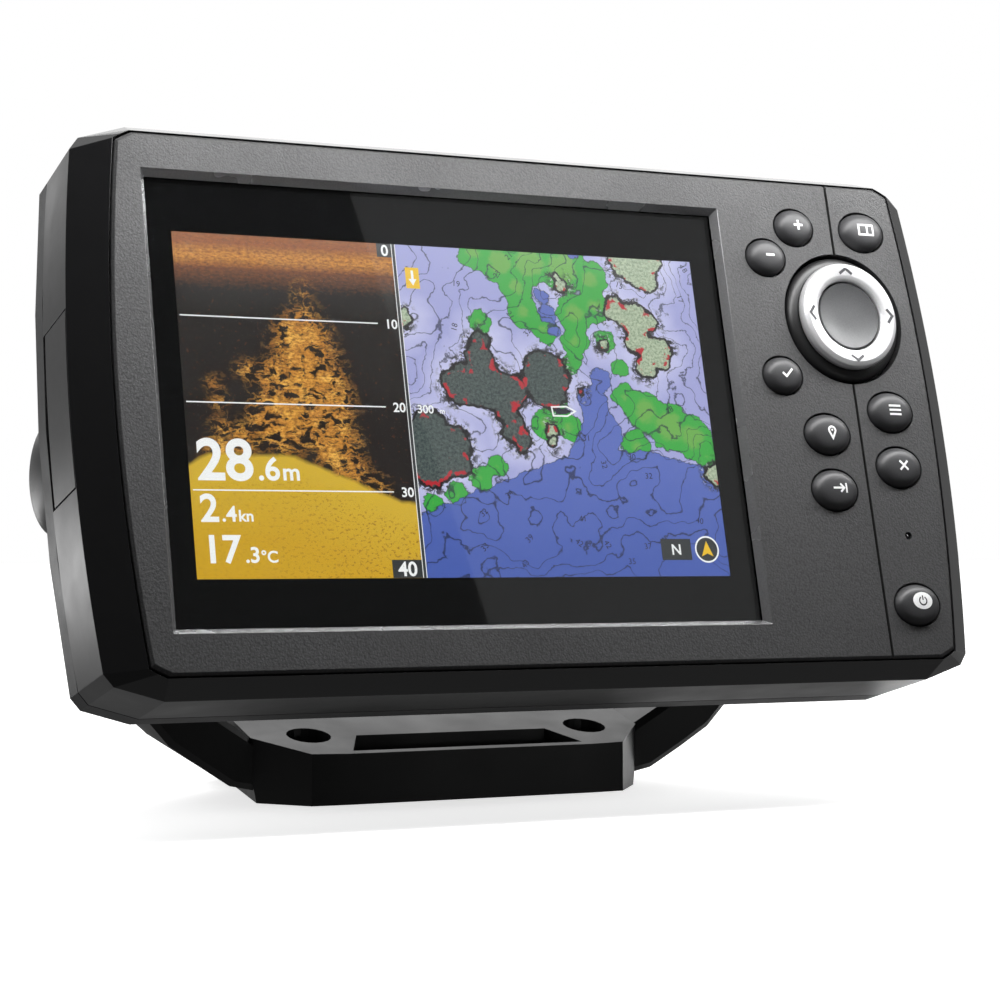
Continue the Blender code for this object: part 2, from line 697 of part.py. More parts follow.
def make_clamp(side, head):
    """Everything that lies on one end of the tilt axis, from the case outwards."""
    def at(x):
        return (side * x, TILT_AXIS.y, TILT_AXIS.z)

    turn = facing(side)
    insert = [
        (0.0050, 0.0), (0.0050, -WALL - GAP), (0.0060, -WALL - GAP), (0.0060, -0.0070),
        (STUD_RADIUS + GAP, -0.0070), (STUD_RADIUS + GAP, 0.0),
    ]
    turned(side_name("pivot_insert", side), insert, BRASS, 14, at(BOSS_X), head, turn,
           looped=True)
    pad = tube_profile(STUD_RADIUS + 0.0005, 0.0105, GAP, ARM_INNER_X - BOSS_X - GAP)
    turned(side_name("friction_pad", side), pad, RUBBER, 20, at(BOSS_X), head, turn, looped=True)
    washer = tube_profile(STUD_RADIUS + 0.0005, 0.0085, GAP, GAP + 0.0012)
    turned(side_name("knob_washer", side), washer, STEEL, 20, at(ARM_OUTER_X), head, turn,
           looped=True)
    stud_start = -0.0190
    stud = [(0.0, 0.0070), (STUD_RADIUS - 0.0004, 0.0070), (STUD_RADIUS, 0.0066),
            (STUD_RADIUS, stud_start + 0.0006), (STUD_RADIUS - 0.0006, stud_start),
            (0.0, stud_start)]
    turned(side_name("knob_stud", side), stud, STEEL, 14, at(ARM_OUTER_X), head, turn)
    base = 2 * GAP + 0.0012
    top = KNOB_TOP_X - ARM_OUTER_X
    tall = top - base
    knob = [
        (0.0, top), (KNOB_RADIUS * 0.42, top - 0.0003), (KNOB_RADIUS * 0.70, base + tall * 0.88),
        (KNOB_RADIUS * 0.90, base + tall * 0.70), (KNOB_RADIUS, base + tall * 0.46),
        (KNOB_RADIUS, base + tall * 0.22), (KNOB_RADIUS - 0.0012, base), (STUD_RADIUS + GAP, base),
        (STUD_RADIUS + GAP, 0.0074), (0.0, 0.0074),
    ]
    turned(side_name("knob", side), knob, BLACK_PLASTIC, 28, at(ARM_OUTER_X), head, turn)


# ---------------------------------------------------------------- bracket


def arm_section(side, x, z, lean, thickness, y_front, y_back, draft=0.0, chamfer=0.0013):
    """Section of the arm, across its run: an oblong with its corners taken off."""
    lean = math.radians(lean)
    across = Vector((-math.sin(lean), 0.0, math.cos(lean)))
    half = thickness / 2
    corners = (
        (-half + chamfer, y_front), (-half, y_front + chamfer),
        (-half + draft, y_back - chamfer), (-half + draft + chamfer, y_back),
        (half - chamfer, y_back), (half, y_back - chamfer),
        (half, y_front + chamfer), (half - chamfer, y_front),
    )
    points = []
    for reach, y in corners:
        point = Vector((x, 0.0, z)) + across * reach
        points.append(Vector((side * point.x, y, point.z)))
    return points


def base_plan(ends, z):
    """Plan of the base at one height: a fixed front, and the ends at the right, mirrored."""
    depth = BASE_HALF_DEPTH
    right = [(BASE_PANEL, -depth), (BASE_FRONT, -depth + 0.0006)] + ends
    return [Vector((x, y, z)) for x, y in right + [(-x, y) for x, y in reversed(right)]]


def base_profile():
    """Side profile of the base: upright lip, sloped top, and a fall to the back."""
    depth = BASE_HALF_DEPTH
    crest = LIP_HEIGHT + TOP_SLOPE * (CREST_Y + depth)
    return [
        (-depth - 0.001, 0.0), (-depth - 0.001, LIP_HEIGHT), (-depth, LIP_HEIGHT),
        (CREST_Y, crest), (CREST_Y + 0.0080, crest), (depth, 0.0085), (depth + 0.001, 0.0085),
        (depth + 0.001, 0.0),
    ]


def make_bracket(pivot):
    foot = [(BASE_HALF_W - 0.0010, BASE_CORNER_Y - 0.0008), (0.0366, 0.0090),
            (0.0335, 0.0275), (0.0275, BASE_HALF_DEPTH)]
    full = [(BASE_HALF_W, BASE_CORNER_Y), (BASE_HALF_W, 0.0070), (0.0400, 0.0260),
            (0.0320, BASE_HALF_DEPTH)]
    bm = bmesh.new()
    add_loft(bm, [base_plan(foot, 0.0), base_plan(full, BASE_FLARE), base_plan(full, 0.030)])
    bracket = part("bracket", bm, BRACKET_METAL)

    profile = bmesh.new()
    add_loft(profile, [[Vector((x, y, z)) for y, z in base_profile()] for x in (-0.06, 0.06)])
    combine(bracket, operand("base_side_profile", profile), "INTERSECT")
    arms = bmesh.new()
    for side in (LEFT, RIGHT):
        add_loft(arms, [arm_section(side, *station) for station in ARM_STATIONS]
                 + [arm_section(side, 0.0716, pivot.z, 90, 0.0100, pivot.y - 0.0105,
                                pivot.y + 0.0105)])
    combine(bracket, operand("arms", arms), "UNION")
    eyes = bmesh.new()
    for side in (LEFT, RIGHT):
        add_cylinder(eyes, EYE_RADIUS, (side * ARM_INNER_X, side * ARM_OUTER_X),
                     (pivot.y, pivot.z), 28, axis="X")
    combine(bracket, operand("eyes", eyes), "UNION")

    cuts = bmesh.new()
    for side in (LEFT, RIGHT):
        add_cylinder(cuts, STUD_RADIUS + 0.0005, (side * 0.062, side * 0.080),
                     (pivot.y, pivot.z), 16, axis="X")
        for x, y in SCREWS:
            add_cylinder(cuts, SCREW_HOLE_RADIUS, (-0.002, RECESS_FLOOR + 0.0004), (side * x, y), 10)
            add_cylinder(cuts, RECESS_RADIUS, (RECESS_FLOOR, 0.030), (side * x, y), 18)
    combine(bracket, operand("bracket_holes", cuts))

    pocket = bmesh.new()
    near, far = BASE_HALF_DEPTH - 0.0016, BASE_HALF_DEPTH - 0.0107
    shape = [(-0.0258, -near), (0.0258, -near), (0.0215, -far), (-0.0215, -far)]
    add_loft(pocket, [[Vector((x, y, z)) for x, y in shape] for z in (0.0062, 0.030)])
    combine(bracket, operand("cable_pocket", pocket))


# ---------------------------------------------------------------- assembly

clear_scene()
PARTS = new_collection("chartplotter_display")
CUTTERS = new_collection("cutters")

BLACK_PLASTIC = material("black_plastic", (0.020, 0.021, 0.022), 0.35)
SIDE_PLASTIC = material("side_plastic", (0.090, 0.092, 0.095), 0.45)
FACE_PLASTIC = material("face_plastic", (0.085, 0.088, 0.092), 0.60)
CASE_METAL = material("case_metal", (0.030, 0.031, 0.033), 0.50)
BRACKET_METAL = material("bracket_metal", (0.022, 0.022, 0.023), 0.45)
KEY_RUBBER = material("key_rubber", (0.030, 0.031, 0.033), 0.55)
SILVER = material("silver", (0.620, 0.630, 0.650), 0.25, 0.8)
RUBBER = material("rubber", (0.015, 0.015, 0.016), 0.80)
STEEL = material("steel", (0.550, 0.550, 0.560), 0.30, 1.0)
BRASS = material("brass", (0.720, 0.520, 0.220), 0.30, 1.0)
ALUMINIUM = material("aluminium", (0.700, 0.710, 0.720), 0.40, 1.0)
CLEAR = material("clear", (0.010, 0.012, 0.014), 0.05)
LCD = material("lcd", (0.100, 0.200, 0.400), 0.20)
WHITE_PLASTIC = material("white_plastic", (0.800, 0.800, 0.790), 0.50)
BOARD = material("board", (0.020, 0.180, 0.070), 0.45)
FERRITE = material("ferrite", (0.050, 0.045, 0.045), 0.60)
CERAMIC = material("ceramic", (0.750, 0.700, 0.600), 0.50)


def build():
    lie = math.pi / 2 - TILT_BACK
    tip = Matrix.Rotation(lie, 3, "X")
    pivot = FACE_CENTRE + tip @ TILT_AXIS
    axle = empty("tilt_axis", pivot, (lie, 0.0, 0.0))
    head = empty("face_centre", -TILT_AXIS, parent=axle)

    make_bracket(pivot)
    make_front_housing(head)
    make_card_door(head)
    make_rear_case(head)
    make_case_fittings(head)
    for name, place in SOCKETS.items():
        make_socket(name, place, head)
    make_faceplate(head)
    for name, place in SMALL_KEYS.items():
        make_key(name, place, SMALL_RECESS, head)
    for name, place in LARGE_KEYS.items():
        make_key(name, place, LARGE_RECESS, head)
    make_dpad(head)
    make_keypad(head)
    make_screen(head)
    make_chassis(head)
    make_boards(head)
    make_sonar_board(head)
    make_card_socket(head)
    for side in (LEFT, RIGHT):
        make_clamp(side, head)


build()
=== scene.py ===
"""Looks of a chartplotter display on its gimbal bracket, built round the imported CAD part.

Lengths are in metres. The head has a frame of its own, x right, y up the face and z out of
the face, with its zero on the front of the faceplate at the middle of the lit picture's
height. HEAD carries that frame into the row frame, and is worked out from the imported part.
Marks on the keys and on the lit picture are drawn in millimetres.
"""

import json
import math

import bmesh
import bpy
from mathutils import Matrix, Vector


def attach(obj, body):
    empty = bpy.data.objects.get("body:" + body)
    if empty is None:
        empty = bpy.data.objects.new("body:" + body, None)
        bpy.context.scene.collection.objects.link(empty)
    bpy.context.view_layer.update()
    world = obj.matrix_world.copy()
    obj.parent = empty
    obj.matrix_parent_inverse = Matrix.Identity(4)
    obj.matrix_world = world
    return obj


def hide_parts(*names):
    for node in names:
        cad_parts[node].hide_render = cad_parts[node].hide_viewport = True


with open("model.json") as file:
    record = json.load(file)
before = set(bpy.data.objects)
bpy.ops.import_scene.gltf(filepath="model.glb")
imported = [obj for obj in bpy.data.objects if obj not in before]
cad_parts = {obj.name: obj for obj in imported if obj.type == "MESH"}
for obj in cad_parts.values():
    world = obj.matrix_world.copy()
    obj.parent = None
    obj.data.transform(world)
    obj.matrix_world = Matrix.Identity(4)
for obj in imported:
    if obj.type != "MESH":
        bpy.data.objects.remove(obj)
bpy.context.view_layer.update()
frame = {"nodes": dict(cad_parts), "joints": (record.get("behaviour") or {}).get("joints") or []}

MM = 0.001
LEFT, RIGHT = -1, 1


# ---------------------------------------------------------------- the head's frame


def head_frame():
    press = next(j for j in frame["joints"] if j["name"] == "key_menu_press")
    out = -Vector(press["axis"]).normalized()
    right = Vector((1.0, 0.0, 0.0))
    up = out.cross(right).normalized()
    turn = Matrix((right, up, out)).transposed()
    plate = [turn.transposed() @ v.co for v in frame["nodes"]["faceplate"].data.vertices]
    panel = [turn.transposed() @ v.co for v in frame["nodes"]["lcd_panel"].data.vertices]
    heights = [p.y for p in panel]
    middle = Vector((0.0, (min(heights) + max(heights)) / 2, max(p.z for p in plate)))
    return Matrix.Translation(turn @ middle) @ turn.to_4x4()


HEAD = head_frame()
TO_HEAD = HEAD.inverted()


def span(node):
    """Lowest and highest corner of a CAD node in the head's frame."""
    points = [TO_HEAD @ v.co for v in frame["nodes"][node].data.vertices]
    low = Vector([min(p[i] for p in points) for i in range(3)])
    high = Vector([max(p[i] for p in points) for i in range(3)])
    return low, high


def middle(node):
    low, high = span(node)
    return (low + high) / 2


# ---------------------------------------------------------------- shapes


def link(name, data):
    made = bpy.data.objects.new(name, data)
    bpy.context.scene.collection.objects.link(made)
    return made


def add_box(bm, size, centre, place=Matrix()):
    shape = Matrix.Translation(centre) @ Matrix.Diagonal((*size, 1.0))
    bmesh.ops.create_cube(bm, size=1.0, matrix=place @ shape)


def add_rod(bm, radius, length, place, segments):
    bmesh.ops.create_cone(bm, cap_ends=True, segments=segments, radius1=radius,
                          radius2=radius, depth=length, matrix=place)


def add_cylinder(bm, radius, low, high, centre=(0.0, 0.0), segments=64, oval=1.0):
    place = Matrix.Translation((*centre, (low + high) / 2)) @ Matrix.Diagonal((oval, 1, 1, 1))
    add_rod(bm, radius, high - low, place, segments)


def add_loft(bm, sections, looped=False, first_slot=None):
    """Skins a run of sections that have the same number of points."""
    rows = [[bm.verts.new(point) for point in section] for section in sections]
    pairs = list(zip(rows, rows[1:]))
    if looped:
        pairs.append((rows[-1], rows[0]))
    for number, (near, far) in enumerate(pairs):
        for i in range(len(near)):
            j = (i + 1) % len(near)
            face = bm.faces.new((near[i], far[i], far[j], near[j]))
            if first_slot is not None and number:
                face.material_index = first_slot
    if not looped:
        bm.faces.new(rows[0])
        bm.faces.new(list(reversed(rows[-1])))


def add_turned(bm, profile, steps=96, place=Matrix(), looped=False, oval=1.0):
    """Spins a profile of (radius, height) points about z, outer side top to bottom."""
    rings = []
    for radius, height in profile:
        if radius < 1e-7:
            rings.append([bm.verts.new(place @ Vector((0.0, 0.0, height)))])
            continue
        ring = []
        for i in range(steps):
            a = 2 * math.pi * i / steps
            ring.append(bm.verts.new(place @ Vector((radius * oval * math.cos(a),
                                                     radius * math.sin(a), height))))
        rings.append(ring)
    pairs = list(zip(rings, rings[1:]))
    if looped:
        pairs.append((rings[-1], rings[0]))
    for upper, lower in pairs:
        for i in range(steps):
            j = (i + 1) % steps
            corners = [upper[i % len(upper)], lower[i % len(lower)], lower[j % len(lower)],
                       upper[j % len(upper)]]
            distinct = list(dict.fromkeys(corners))
            if len(distinct) > 2:
                bm.faces.new(distinct)


def rounded(points, radius, steps=4):
    """An open profile with each inner corner rounded off."""
    made = [Vector(points[0])]
    for before, corner, after in zip(points, points[1:], points[2:]):
        corner = Vector(corner)
        back, on = Vector(before) - corner, Vector(after) - corner
        reach = min(radius, back.length * 0.45, on.length * 0.45)
        start, end = corner + back.normalized() * reach, corner + on.normalized() * reach
        for i in range(steps + 1):
            t = i / steps
            made.append(start * (1 - t) ** 2 + corner * 2 * t * (1 - t) + end * t ** 2)
    return [tuple(p) for p in made] + [points[-1]]


def outline(half_w, half_h, bow, corner, z, side_steps=28):
    """Outline of the case, anticlockwise seen from the front, with bowed sides."""
    flank = half_w - bow
    reach = half_h - corner[0][1]
    side = []
    for i in range(side_steps + 1):
        y = -reach + 2 * reach * i / side_steps
        side.append((flank + bow * (1 - (y / reach) ** 2), y))
    top = [(flank - dx, half_h - dy) for dx, dy in corner[1:]]
    quarter = side + top
    right = [(x, -y) for x, y in reversed(top)] + quarter
    ring = right + [(-x, -y) for x, y in right]
    return [Vector((x, y, z)) for x, y in ring]


def rectangle(half, z, centre=(0.0, 0.0)):
    return [Vector((centre[0] + sx * half[0], centre[1] + sy * half[1], z))
            for sx, sy in ((-1, -1), (1, -1), (1, 1), (-1, 1))]


def to_mesh(name, bm, sharp=30):
    mesh = bpy.data.meshes.new(name)
    bm.normal_update()
    bm.to_mesh(mesh)
    bm.free()
    mesh.shade_smooth()
    mesh.set_sharp_from_angle(angle=math.radians(sharp))
    return mesh


def piece(name, shape, looks, body="head", replaces=(), place=Matrix(), sharp=30):
    """Adds a piece of the object, made in the head's frame, that rides on a CAD body."""
    mesh = shape if isinstance(shape, bpy.types.Mesh) else to_mesh(name, shape, sharp)
    made = link(name, mesh)
    for look in looks if isinstance(looks, list) else [looks]:
        mesh.materials.append(look)
    made.matrix_world = HEAD @ place
    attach(made, body)
    if replaces:
        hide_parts(*replaces)
    return made


def soften(made, width, segments=3, angle=20, sharp=None):
    """Rounds the edges of a piece and shades it by face size, and keeps the result."""
    step = made.modifiers.new("edges", "BEVEL")
    step.width = width
    step.segments = segments
    step.limit_method = "ANGLE"
    step.angle_limit = math.radians(angle)
    step.harden_normals = False
    step.miter_outer = "MITER_ARC"
    shade = made.modifiers.new("shading", "WEIGHTED_NORMAL")
    shade.keep_sharp = sharp is not None
    shade.weight = 80
    return apply(made)


def apply(made):
    graph = bpy.context.evaluated_depsgraph_get()
    mesh = bpy.data.meshes.new_from_object(made.evaluated_get(graph),
                                           preserve_all_data_layers=True, depsgraph=graph)
    made.modifiers.clear()
    made.data = mesh
    return made


def cut(made, shape, look=None, operation="DIFFERENCE"):
    """Cuts a shape, given in the piece's own frame, out of a piece."""
    mesh = to_mesh("cutter", shape)
    if look:
        mesh.materials.append(look)
    tool = link("cutter", mesh)
    tool.matrix_world = made.matrix_world
    step = made.modifiers.new("cut", "BOOLEAN")
    step.operation = operation
    step.solver = "EXACT"
    step.object = tool
    if look:
        step.material_mode = "TRANSFER"
    bpy.context.view_layer.update()
    apply(made)
    bpy.data.objects.remove(tool)
    return made


def clean(bm, flat=0.6):
    """Joins the triangles of a faceted solid back into its flat faces."""
    bmesh.ops.remove_doubles(bm, verts=bm.verts, dist=2e-6)
    bmesh.ops.dissolve_limit(bm, angle_limit=math.radians(flat), verts=bm.verts,
                             edges=bm.edges)


def from_cad(node, look, body, width, angle=24, segments=3, split=False):
    """A finer piece made from a CAD node's own solid, with its edges rounded.

    Split keeps faces with holes as triangles, so that no rounding runs across a hole.
    """
    bm = bmesh.new()
    bm.from_mesh(frame["nodes"][node].data)
    bm.transform(TO_HEAD)
    clean(bm)
    if split:
        bmesh.ops.triangulate(bm, faces=bm.faces)
    made = piece(node + "_shell", bm, look, body, (node,), sharp=35)
    return soften(made, width, segments, angle, sharp=True)


# ---------------------------------------------------------------- ink: legends and marks


class Ink:
    """Flat marks drawn in millimetres with strokes, filled shapes and numerals."""

    def __init__(self, height=lambda x, y: 0.0):
        self.bm = bmesh.new()
        self.height = height

    def face(self, points):
        self.bm.faces.new([self.bm.verts.new((x * MM, y * MM, self.height(x * MM, y * MM)))
                           for x, y in points])

    def stroke(self, points, width, closed=False, step=0.12):
        """A line of even width with square joins and ends."""
        points = [Vector(p) for p in points]
        if closed:
            points = points + [points[0]]
        fine = [points[0]]
        for start, end in zip(points, points[1:]):
            count = max(1, math.ceil((end - start).length / step))
            fine += [start.lerp(end, i / count) for i in range(1, count + 1)]
        sides = []
        for i, point in enumerate(fine):
            before = fine[i - 1] if i else (fine[-2] if closed else point)
            after = fine[i + 1] if i + 1 < len(fine) else (fine[1] if closed else point)
            along = (after - before).normalized()
            across = Vector((-along.y, along.x)) * width / 2
            leg = (after - point) if (after - point).length > 1e-6 else (point - before)
            across /= max(0.5, leg.normalized().dot(along))
            sides.append((point + across, point - across))
        for (a, b), (c, d) in zip(sides, sides[1:]):
            self.face([tuple(a), tuple(b), tuple(d), tuple(c)])

    def arc(self, centre, radius, start, end, width, steps=40):
        turn = [math.radians(start + (end - start) * i / steps) for i in range(steps + 1)]
        whole = abs(end - start) >= 360
        points = [(centre[0] + radius * math.cos(a), centre[1] + radius * math.sin(a))
                  for a in turn]
        self.stroke(points[:-1] if whole else points, width, closed=whole)

    def disc(self, centre, half_w, half_h, steps=48, rings=4):
        for ring in range(rings):
            inner, outer = ring / rings, (ring + 1) / rings
            for i in range(steps):
                a, b = (2 * math.pi * k / steps for k in (i, i + 1))
                corners = [(r, t) for r, t in ((outer, a), (outer, b), (inner, b), (inner, a))
                           if r > 0 or t == a]
                self.face([(centre[0] + half_w * r * math.cos(t),
                            centre[1] + half_h * r * math.sin(t)) for r, t in corners])

    def tile(self, low, high):
        self.face([low, (high[0], low[1]), high, (low[0], high[1])])

    def text(self, body, height, place, align="LEFT", bold=0.0, turn=0.0):
        """Numerals whose height is that of a zero, placed by their baseline."""
        tall = text_mesh("0", "LEFT", 0.0)
        scale = height / max(v.co.y for v in tall.vertices)
        glyphs = text_mesh(body, align, bold)
        move = (Matrix.Translation((*place, 0.0)) @ Matrix.Rotation(math.radians(turn), 4, "Z")
                @ Matrix.Diagonal((scale, scale, 1.0, 1.0)))
        for polygon in glyphs.polygons:
            corners = [move @ glyphs.vertices[i].co for i in polygon.vertices]
            self.face([(c.x, c.y) for c in corners])
        bpy.data.meshes.remove(tall)
        bpy.data.meshes.remove(glyphs)

    def mesh(self, name):
        bmesh.ops.remove_doubles(self.bm, verts=self.bm.verts, dist=1e-7)
        bmesh.ops.recalc_face_normals(self.bm, faces=self.bm.faces)
        self.bm.normal_update()
        down = [f for f in self.bm.faces if f.normal.z < 0]
        bmesh.ops.reverse_faces(self.bm, faces=down)
        return to_mesh(name, self.bm)


def text_mesh(body, align, bold):
    curve = bpy.data.curves.new("glyphs", "FONT")
    curve.body = body
    curve.align_x = align
    curve.offset = bold
    curve.resolution_u = 6
    source = link("glyphs", curve)
    graph = bpy.context.evaluated_depsgraph_get()
    mesh = bpy.data.meshes.new_from_object(source.evaluated_get(graph))
    bpy.data.objects.remove(source)
    bpy.data.curves.remove(curve)
    return mesh


# ---------------------------------------------------------------- materials


class Wire:
    """A value that runs from one node to another, with arithmetic."""

    def __init__(self, look, socket):
        self.look, self.socket = look, socket

    def __add__(self, other):
        return self.look.math("ADD", self, other)

    def __sub__(self, other):
        return self.look.math("SUBTRACT", self, other)

    def __rsub__(self, other):
        return self.look.math("SUBTRACT", other, self)

    def __mul__(self, other):
        return self.look.math("MULTIPLY", self, other)

    __radd__, __rmul__ = __add__, __mul__

    def above(self, low, soft=0.0):
        """1 where the value is over low and 0 where it's under, with a soft edge."""
        if not soft:
            return self.look.math("GREATER_THAN", self, low)
        return self.look.remap(self, low - soft / 2, low + soft / 2)

    def below(self, high, soft=0.0):
        return 1.0 - self.above(high, soft)


class Look:
    """One procedural material: a Principled shader and the nodes that feed it."""

    def __init__(self, name, colour=(0.5, 0.5, 0.5), roughness=0.5, metallic=0.0, **values):
        self.material = bpy.data.materials.new(name)
        self.material.use_nodes = True
        self.tree = self.material.node_tree
        self.shader = self.tree.nodes["Principled BSDF"]
        self.shader.inputs["Base Color"].default_value = (*colour, 1.0)
        self.shader.inputs["Roughness"].default_value = roughness
        self.shader.inputs["Metallic"].default_value = metallic
        for key, value in values.items():
            self.shader.inputs[key.replace("_", " ")].default_value = value
        self.colour, self.roughness = colour, roughness
        self.place = self.node("ShaderNodeTexCoord").outputs["Object"]

    def node(self, kind, inputs=(), **settings):
        made = self.tree.nodes.new(kind)
        for key, value in settings.items():
            setattr(made, key, value)
        for key, value in dict(inputs).items():
            self.feed(made.inputs[key], value)
        return made

    def feed(self, socket, value):
        if isinstance(value, Wire):
            value = value.socket
        if isinstance(value, bpy.types.NodeSocket):
            self.tree.links.new(value, socket)
        elif hasattr(value, "__len__") and socket.type == "RGBA" and len(value) == 3:
            socket.default_value = (*value, 1.0)
        else:
            socket.default_value = value

    def set(self, socket, value):
        self.feed(self.shader.inputs[socket], value)
        return self

    def math(self, operation, *values):
        inputs = {i: value for i, value in enumerate(values)}
        return Wire(self, self.node("ShaderNodeMath", inputs, operation=operation).outputs[0])

    def vector(self, operation, *values):
        inputs = {i: value for i, value in enumerate(values)}
        made = self.node("ShaderNodeVectorMath", inputs, operation=operation)
        return made.outputs["Value" if operation in ("LENGTH", "DISTANCE") else "Vector"]

    def axis(self, name, place):
        return Wire(self, self.node("ShaderNodeSeparateXYZ", {0: place}).outputs[name])

    def remap(self, value, low, high, to_low=0.0, to_high=1.0):
        inputs = {"Value": value, "From Min": low, "From Max": high, "To Min": to_low,
                  "To Max": to_high}
        made = self.node("ShaderNodeMapRange", inputs, clamp=True)
        return Wire(self, made.outputs["Result"])

    def noise(self, size, detail=3.0, roughness=0.55, place=None, stretch=None, seed=None):
        """Noise whose features are about as long as size, in the place's own units."""
        place = place or self.place
        if stretch:
            place = self.vector("MULTIPLY", place, stretch)
        if seed is not None:
            place = self.vector("ADD", place, (seed, seed * 0.7, 0.0))
        inputs = {"Vector": place, "Scale": 1.0 / size, "Detail": detail,
                  "Roughness": roughness}
        return Wire(self, self.node("ShaderNodeTexNoise", inputs).outputs["Fac"])

    def cells(self, size, feature="SMOOTH_F1", place=None):
        inputs = {"Vector": place or self.place, "Scale": 1.0 / size}
        made = self.node("ShaderNodeTexVoronoi", inputs, feature=feature)
        return Wire(self, made.outputs["Distance"])

    def mix(self, share, first, second):
        made = self.node("ShaderNodeMix", data_type="RGBA")
        self.feed(made.inputs[0], share)
        self.feed(made.inputs[6], first)
        self.feed(made.inputs[7], second)
        return Wire(self, made.outputs[2])

    def bump(self, height, depth, strength=1.0):
        made = self.node("ShaderNodeBump", {"Height": height, "Distance": depth,
                                            "Strength": strength})
        self.feed(self.shader.inputs["Normal"], made.outputs["Normal"])
        return self

    def shade(self, noise, spread=0.25):
        """Varies the colour from point to point by a share of itself."""
        dark = tuple(c * (1 - spread) for c in self.colour)
        light = tuple(min(1.0, c * (1 + spread)) for c in self.colour)
        return self.set("Base Color", self.mix(self.remap(noise, 0.3, 0.7), dark, light))

    def polish(self, noise, spread=0.06):
        low, high = self.roughness - spread, self.roughness + spread
        return self.set("Roughness", self.remap(noise, 0.3, 0.7, max(0.02, low), high))


def moulded(name, colour, roughness, grain, depth, spread=0.12, **values):
    """Moulded plastic, paint or rubber: fine grain, with patches a little duller."""
    look = Look(name, colour, roughness, **values)
    fine = look.noise(grain, 4.0)
    look.shade(fine, spread)
    look.polish(look.noise(14 * MM, 3.0), roughness * 0.14)
    return look.bump(fine, depth).material


def leathered():
    """Faceplate plastic with an irregular leathery grain."""
    look = Look("face_plastic", (0.040, 0.0405, 0.0415), 0.54)
    swirl = look.noise(0.55 * MM, 3.0, 0.6)
    warped = look.vector("ADD", look.place, look.vector("MULTIPLY", swirl.socket,
                                                        (0.3 * MM, 0.3 * MM, 0.0)))
    pebbles = look.cells(0.36 * MM, place=warped)
    fine = look.noise(0.15 * MM, 2.0)
    grain = pebbles * 0.7 + swirl * 0.6 + fine * 0.3
    look.set("Base Color", look.mix(look.remap(grain, 0.35, 0.95), (0.055, 0.055, 0.056),
                                    (0.026, 0.026, 0.027)))
    look.polish(look.noise(20 * MM, 2.0), 0.05)
    return look.bump(grain, 0.07 * MM, 0.9).material


def metal(name, colour, roughness, stretch=(1, 1, 40), grain=0.5 * MM):
    """Brushed or turned metal, with fine lines along one way."""
    look = Look(name, colour, roughness, 1.0)
    lines = look.noise(grain * 40, 3.0, stretch=stretch)
    look.shade(lines, 0.14)
    look.polish(lines, roughness * 0.3)
    return look.bump(lines, 0.01 * MM).material


def circuit_board():
    """Solder mask with copper tracks under it and tinned pads."""
    look = Look("board", (0.012, 0.09, 0.04), 0.32)
    tracks = look.cells(2.4 * MM, "DISTANCE_TO_EDGE")
    lines = tracks.below(0.12, 0.05)
    pads = look.cells(1.7 * MM).below(0.16, 0.04)
    mask = look.mix(lines, (0.010, 0.075, 0.032), (0.022, 0.16, 0.062))
    look.set("Base Color", look.mix(pads, mask, (0.62, 0.60, 0.55)))
    look.set("Metallic", pads)
    return look.bump(lines + pads, 0.03 * MM).material


def ink(name, colour, roughness=0.5, **values):
    look = Look(name, colour, roughness, **values)
    return look.shade(look.noise(0.3 * MM), 0.05).material


def glow(name, colour):
    """A lit mark on the picture, uneven by as much as one line of pixels."""
    look = Look(name, (0.0, 0.0, 0.0), 0.4)
    lines = look.noise(0.14 * MM, 1.0, stretch=(0.2, 1.0, 1.0))
    dim = tuple(c * 0.93 for c in colour)
    look.set("Emission Color", look.mix(look.remap(lines, 0.3, 0.7), dim, colour))
    look.set("Emission Strength", 1.0)
    return look.material


def clear_glass():
    look = Look("glass", (0.97, 0.985, 0.98), 0.015, Transmission_Weight=1.0, IOR=1.48)
    wipe = look.noise(9 * MM, 4.0, stretch=(1.0, 0.35, 1.0))
    look.set("Roughness", look.remap(wipe, 0.35, 0.75, 0.008, 0.03))
    return look.material


FACE = leathered()
FRONT = moulded("front_gloss", (0.0075, 0.0075, 0.008), 0.20, 1.6 * MM, 0.004 * MM, 0.1)
SIDE = moulded("side_satin", (0.030, 0.030, 0.031), 0.36, 0.35 * MM, 0.010 * MM)
BEVEL = moulded("window_bevel", (0.24, 0.24, 0.245), 0.26, 0.3 * MM, 0.006 * MM, metallic=0.7)
CASE = moulded("case_paint", (0.020, 0.0205, 0.022), 0.46, 0.30 * MM, 0.035 * MM)
BRACKET = moulded("bracket_paint", (0.0105, 0.0105, 0.011), 0.40, 0.22 * MM, 0.014 * MM,
                  IOR=1.42)
KEY = moulded("key_rubber", (0.034, 0.034, 0.036), 0.44, 0.22 * MM, 0.010 * MM)
SKIRT = moulded("skirt_rubber", (0.012, 0.012, 0.0125), 0.38, 0.22 * MM, 0.008 * MM)
DISH = moulded("dish_plastic", (0.070, 0.071, 0.074), 0.42, 0.25 * MM, 0.010 * MM)
RING = Look("ring_silver", (0.72, 0.72, 0.73), 0.34, 0.55)
RING = RING.shade(RING.noise(0.18 * MM, 3.0), 0.07).polish(RING.noise(5 * MM), 0.05).material
KNOB = moulded("knob_plastic", (0.016, 0.016, 0.017), 0.38, 0.3 * MM, 0.018 * MM)
SEAL = moulded("seal_rubber", (0.011, 0.011, 0.011), 0.78, 0.4 * MM, 0.03 * MM)
SOCKET = moulded("socket_plastic", (0.010, 0.010, 0.011), 0.42, 0.3 * MM, 0.014 * MM)
INNER = moulded("inner_plastic", (0.024, 0.024, 0.026), 0.55, 0.5 * MM, 0.02 * MM)
